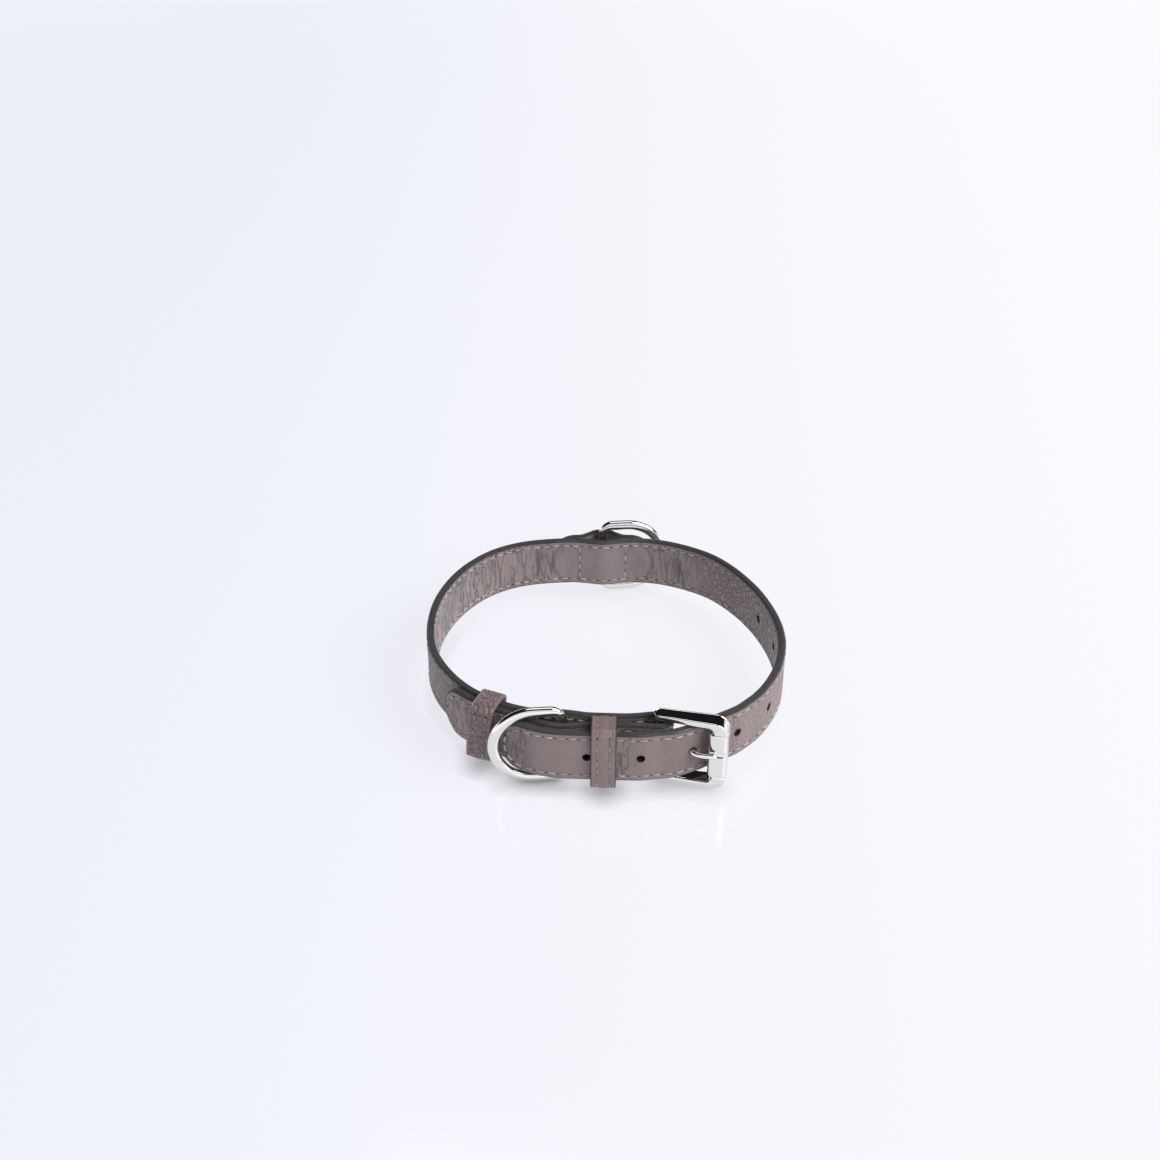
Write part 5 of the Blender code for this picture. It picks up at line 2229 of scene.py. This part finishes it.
    def bar_mesh(self) -> bpy.types.Mesh:
        """The thick outer bar: flat-sided sections that swell at both shoulders.

        The radius grows on a quarter circle at each shoulder, and the section is a
        superellipse, so that the bar has a front facet and a right facet.

        Returns:
            The mesh.
        """
        reach = self.inside - self.shoulder
        angle = np.linspace(0, math.pi / 2, 9)
        end_up = reach - self.bar_round * (1 - np.sin(angle))
        end_in = self.bar_round * (1 - np.cos(angle))
        straight = np.linspace(-reach + self.bar_round, reach - self.bar_round, 30)[1:-1]
        up = np.concatenate([-end_up[::-1], straight, end_up])
        inset = np.concatenate([end_in[::-1], np.zeros(len(straight)), end_in])
        section = superellipse(48, 2.9)
        radius = self.outer_bar / 2 - inset
        swell = np.maximum(-section[:, 0], 0) * ramp(section[:, 1], -0.6, 0.6)
        along = self.length + self.bar_shift + radius[:, None] * section[:, 0] - self.bar_swell * swell
        out = radius[:, None] * section[:, 1]
        return lofted("outer_bar", self.place(along, out, up[:, None] * np.ones_like(along)), wrap=False)

    def build(self) -> None:
        """Makes the frame and the prong."""
        bar = add_object("bar", self.bar_mesh())
        seat_up = np.array(self.drop)
        ends = (
            self.place(np.array(self.length + sign * self.outer_bar / 2), np.array(PRONG_SEAT), seat_up)
            for sign in (-1, 1)
        )
        seat = tube("seat", *ends, PRONG_WIRE / 2 + self.way.clear)
        cut(bar, add_object("seat", seat), Cut.AWAY)
        low, high = (
            self.place(np.array(0.0), np.array(0.0), np.array(sign * (self.half - self.rim / 2)))
            for sign in (-1, 1)
        )
        shells = [*self.frame_meshes(), tube("hinge", low, high, self.way.hinge_bar / 2), bar.data]
        frame_obj = add_object("buckle_casting", joined("buckle_casting", shells))
        bpy.data.objects.remove(bar)
        sharpened(frame_obj, 38)
        dress(frame_obj, self.finish.chrome, "collar")
        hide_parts("buckle_frame")
        prong = add_object("buckle_prong", self.prong_mesh())
        cut(prong, add_object("eye", self.eye_mesh()), Cut.JOIN)
        sharpened(prong, 60)
        dress(prong, self.finish.chrome, "collar")
        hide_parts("prong")

    def prong_mesh(self) -> bpy.types.Mesh:
        """The pin: a round wire along its line, its tip rounded and a little flattened.

        Returns:
            The mesh.
        """
        line = softened(prong_line(self.way, self.hole), 0.3 * MM, 0.5 * MM)
        marks = lengths(line)
        left = marks[-1] - marks
        near = np.clip(1 - left / (PRONG_WIRE / 2), 0, 1)
        size = np.sqrt(np.maximum(1 - near**2, 0.02))
        ahead = unit(np.gradient(line, axis=0))
        aside = np.column_stack([-ahead[:, 1], ahead[:, 0]])
        ring = superellipse(24, 2.15) * PRONG_WIRE / 2
        thin = 1 - self.tip_flat * ramp(marks, 0.55 * marks[-1], marks[-1])
        plan = line[:, None, :] + aside[:, None, :] * (ring[None, :, :1] * (size * thin)[:, None, None])
        up = self.way.middle + ring[None, :, 1:] * size[:, None, None]
        return lofted("prong", np.concatenate([plan, up], -1), wrap=False)

    def eye_mesh(self) -> bpy.types.Mesh:
        """The prong's eye: a ring of wire round the hinge bar."""
        radius = (self.way.hinge_bar + PRONG_WIRE) / 2 + self.way.clear
        turn = np.linspace(0, FULL_TURN, 72, endpoint=False)[:, None, None]
        ring = superellipse(24, 2.15) * PRONG_WIRE / 2
        spoke = np.concatenate([np.cos(turn), np.sin(turn)], -1)
        plan = self.way.hinge + (radius + ring[None, :, :1]) * spoke
        up = np.broadcast_to(self.way.middle + ring[None, :, 1:], (*plan.shape[:2], 1))
        return lofted("eye", np.concatenate([plan, up], -1), wrap=True)


@dataclass
class DRing:
    """A cast ring shaped like a D, which swings about its straight bar."""

    name: str
    node: str
    body: str
    way: StrapWay
    finish: Wardrobe
    turn: float
    offset: float
    lean: float
    ease: float = 2.1 * MM
    long: float = 26.9 * MM
    wire: float = 3.9 * MM
    flatness: float = 0.72
    bar: float = RING_BAR
    corner: float = 4.0 * MM
    lift: float = 0.0

    def outline(self) -> tuple[Array, Array]:
        """The closed line of the D and the wire's thickness along it.

        A straight bar, two quarter circles, two short sides and a half circle follow each
        other, and the wire thickens from the bar to the sides through the corners.

        Returns:
            Points as along and up, and the wire's thickness at each.
        """
        half = (self.way.width + 2 * self.ease + self.wire) / 2
        reach = self.long - (self.bar + self.wire) / 2
        centre = reach - half
        straight = np.linspace(0, half - self.corner, 14)[:-1]
        turn = np.linspace(0, math.pi / 2, 16)
        side = np.linspace(self.corner, centre, 8)[1:-1]
        arc = np.linspace(math.pi / 2, 0, 46)
        along = (0 * straight, self.corner * (1 - np.cos(turn)), side, centre + half * np.cos(arc))
        up = (straight, half - self.corner * (1 - np.sin(turn)), 0 * side + half, half * np.sin(arc))
        width = (
            0 * straight + self.bar,
            self.bar + (self.wire - self.bar) * ramp(turn, 0.0, math.pi / 2),
            0 * side + self.wire,
            0 * arc + self.wire,
        )
        upper = np.column_stack([np.concatenate(along), np.concatenate(up)])
        size = np.concatenate(width)
        lower = upper[-2:0:-1] * [1, -1]
        return np.concatenate([upper, lower]), np.concatenate([size, size[-2:0:-1]])

    def build(self) -> None:
        """Makes the ring: a flattened superellipse carried round the D."""
        line, width = self.outline()
        ahead = unit(np.roll(line, -1, axis=0) - np.roll(line, 1, axis=0))
        normal = np.column_stack([ahead[:, 1], -ahead[:, 0]])
        section = superellipse(32, 2.15)
        radial = section[None, :, :1] * (width / 2)[:, None, None]
        axial = section[None, :, 1:] * (width / 2 * self.flatness)[:, None, None]
        plane = line[:, None, :] + normal[:, None, :] * radial
        heading = self.way.loop.heading(np.asarray(self.turn))
        angle = math.atan2(heading[1], heading[0]) + self.lean
        ahead = np.array([math.cos(angle), math.sin(angle)])
        aside = np.array([-ahead[1], ahead[0]])
        origin = self.way.loop.place(self.turn, self.offset)
        plan = origin + plane[..., :1] * ahead + axial * aside
        height = self.way.width / 2 + self.ease + self.wire + self.lift
        up = height + plane[..., 1:]
        obj = add_object(self.name, lofted(self.name, np.concatenate([plan, up], -1), wrap=True))
        dress(obj, self.finish.chrome, self.body)
        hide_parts(self.node)


# Studio


@dataclass
class Studio:
    """Pale floor, wide soft light from the right, light boxes for the chrome and the camera."""

    floor_material: bpy.types.Material
    camera_place: tuple[float, float, float] = (-0.0091, -0.4705, 0.36658)
    camera_tilt: float = math.radians(55.72)
    lens: float = 1600 / 1160 * 36
    world_light: float = 0.41
    wall_light: float = 0.012
    box_light: float = 0.95
    front_edge: tuple[float, float] = (-0.82, -0.70)
    skirting: tuple[float, float] = (0.14, 0.24)
    key_light: float = 2.9
    key_angle: float = math.radians(48.0)
    key_from: tuple[float, float, float] = (1.0, -0.42, 0.95)

    def build(self) -> None:
        """Makes the floor, the light, the cards and the camera."""
        self.floor()
        self.world()
        self.camera()
        self.key()
        self.card("window", (0.02, 0.10, 0.74), 0.46, 0.40, 1.8)

    def floor(self) -> None:
        """A wide flat sheet at the height of zero."""
        reach = 6.0
        corners = np.array([[-1, -1, 0], [1, -1, 0], [1, 1, 0], [-1, 1, 0]]) * reach
        obj = add_object("floor", mesh_of("floor", corners, [(0, 1, 2, 3)]))
        obj.data.materials.append(self.floor_material)

    def world(self) -> None:
        """An even pale sky. Reflections see a bright front, a dark back wall and a pale skirting."""
        world = bpy.data.worlds.new("studio")
        world.use_nodes = True
        nodes = Nodes(world.node_tree)
        sky = world.node_tree.nodes["Background"]
        sky.inputs["Color"].default_value = (0.965, 0.975, 1.0, 1.0)
        way = nodes.add("ShaderNodeSeparateXYZ")
        nodes.link(nodes.add("ShaderNodeTexCoord").outputs["Generated"], way.inputs["Vector"])
        behind = nodes.steps(way.outputs["Y"], *self.front_edge)
        raised = nodes.steps(way.outputs["Z"], *self.skirting)
        dark = nodes.math("MULTIPLY", behind, raised)
        mirrored = nodes.mix(dark, (self.box_light,) * 3, (self.wall_light,) * 3)
        rays = nodes.add("ShaderNodeLightPath")
        plain = (self.world_light,) * 3
        strength = nodes.mix(rays.outputs["Is Glossy Ray"], plain, mirrored)
        nodes.link(strength, sky.inputs["Strength"])
        bpy.context.scene.world = world
        bpy.context.scene.view_settings.view_transform = "Standard"

    def key(self) -> None:
        """The key light: parallel light as wide as a large softbox."""
        data = bpy.data.lights.new("key", "SUN")
        data.energy = self.key_light
        data.angle = self.key_angle
        obj = bpy.data.objects.new("key", data)
        obj.rotation_euler = Vector(self.key_from).to_track_quat("Z", "Y").to_euler()
        bpy.context.scene.collection.objects.link(obj)

    def camera(self) -> None:
        """The camera at the photograph's place and angle."""
        data = bpy.data.cameras.new("camera")
        data.sensor_width = 36
        data.lens = self.lens
        obj = bpy.data.objects.new("camera", data)
        obj.location = self.camera_place
        obj.rotation_euler = (self.camera_tilt, 0, 0)
        bpy.context.scene.collection.objects.link(obj)
        bpy.context.scene.camera = obj

    def card(
        self, name: str, place: tuple[float, float, float], width: float, height: float, glow: float
    ) -> None:
        """A card that faces the collar and that only reflections see.

        Args:
            name: name of the card.
            place: its middle.
            width: its width.
            height: its height.
            glow: its own light.
        """
        toward = unit(-np.array(place))
        aside = unit(np.cross(toward, [0.0, 0.0, 1.0]))
        up = np.cross(aside, toward)
        spread = np.array([[-1, -1], [1, -1], [1, 1], [-1, 1]]) / 2
        corners = np.array(place) + spread[:, :1] * width * aside + spread[:, 1:] * height * up
        obj = add_object(name, mesh_of(name, corners, [(0, 1, 2, 3)]))
        material, _, shader = new_material(name)
        shader.inputs["Base Color"].default_value = (0.004, 0.004, 0.005, 1)
        shader.inputs["Roughness"].default_value = 1.0
        shader.inputs["Specular IOR Level"].default_value = 0.0
        shader.inputs["Emission Color"].default_value = (1.0, 1.0, 1.0, 1.0)
        shader.inputs["Emission Strength"].default_value = glow
        obj.data.materials.append(material)
        obj.visible_camera = False
        obj.visible_diffuse = False
        obj.visible_shadow = False


def main() -> None:
    """Builds the collar piece by piece, then the studio."""
    logging.basicConfig(level=logging.INFO, format="%(name)s: %(message)s")
    way = StrapWay(NeckLoop())
    finish = Wardrobe()
    strap = CollarStrap(way, finish)
    strap.build()
    BackPatch(way, finish).build()

    keeper_width = KeeperLoop.width
    outer = way.outer_offset(way.neck, 1 + FRONT_KEEPER_TURN, keeper_width) + way.clear
    KeeperLoop(
        "front_keeper_loop", "front_keeper", way, FRONT_KEEPER_TURN, 0.0,
        way.thick + way.clear + way.keeper_thick, outer, way.middle,
        finish.keeper, finish, bulge=0.25 * MM, sag=1.2 * MM, seed=43,
    ).build()
    skew = math.radians(9.0)
    room = 2 * way.clear + keeper_width / 2 * math.sin(skew)
    outer = way.outer_offset(way.folded, SIDE_KEEPER_TURN, keeper_width) + room + 1.1 * MM
    KeeperLoop(
        "side_keeper_loop", "side_keeper", way, SIDE_KEEPER_TURN, skew, -room, outer,
        way.middle - 0.35 * MM, finish.side_keeper, finish, corner=2.3 * MM,
        bulge=0.7 * MM, sag=0.2 * MM, lean=-0.10, wrinkled=0.75, seed=47,
    ).build()

    Buckle(way, finish, strap.neck_line[strap.hole_index]).build()
    inside = way.outer_offset(way.folded, FRONT_RING_TURN, RING_BAR) - way.thick
    DRing(
        "front_d", "front_ring", "front_d_ring", way, finish, FRONT_RING_TURN,
        inside - RING_PLAY - RING_BAR / 2, math.radians(10.7),
    ).build()
    DRing(
        "back_d", "back_ring", "back_d_ring", way, finish, PATCH_TURN,
        way.thick + way.clear + RING_PLAY + RING_BAR / 2, math.radians(5.0), lift=0.6 * MM,
    ).build()
    Studio(finish.floor).build()


if __name__ == "__main__":
    main()
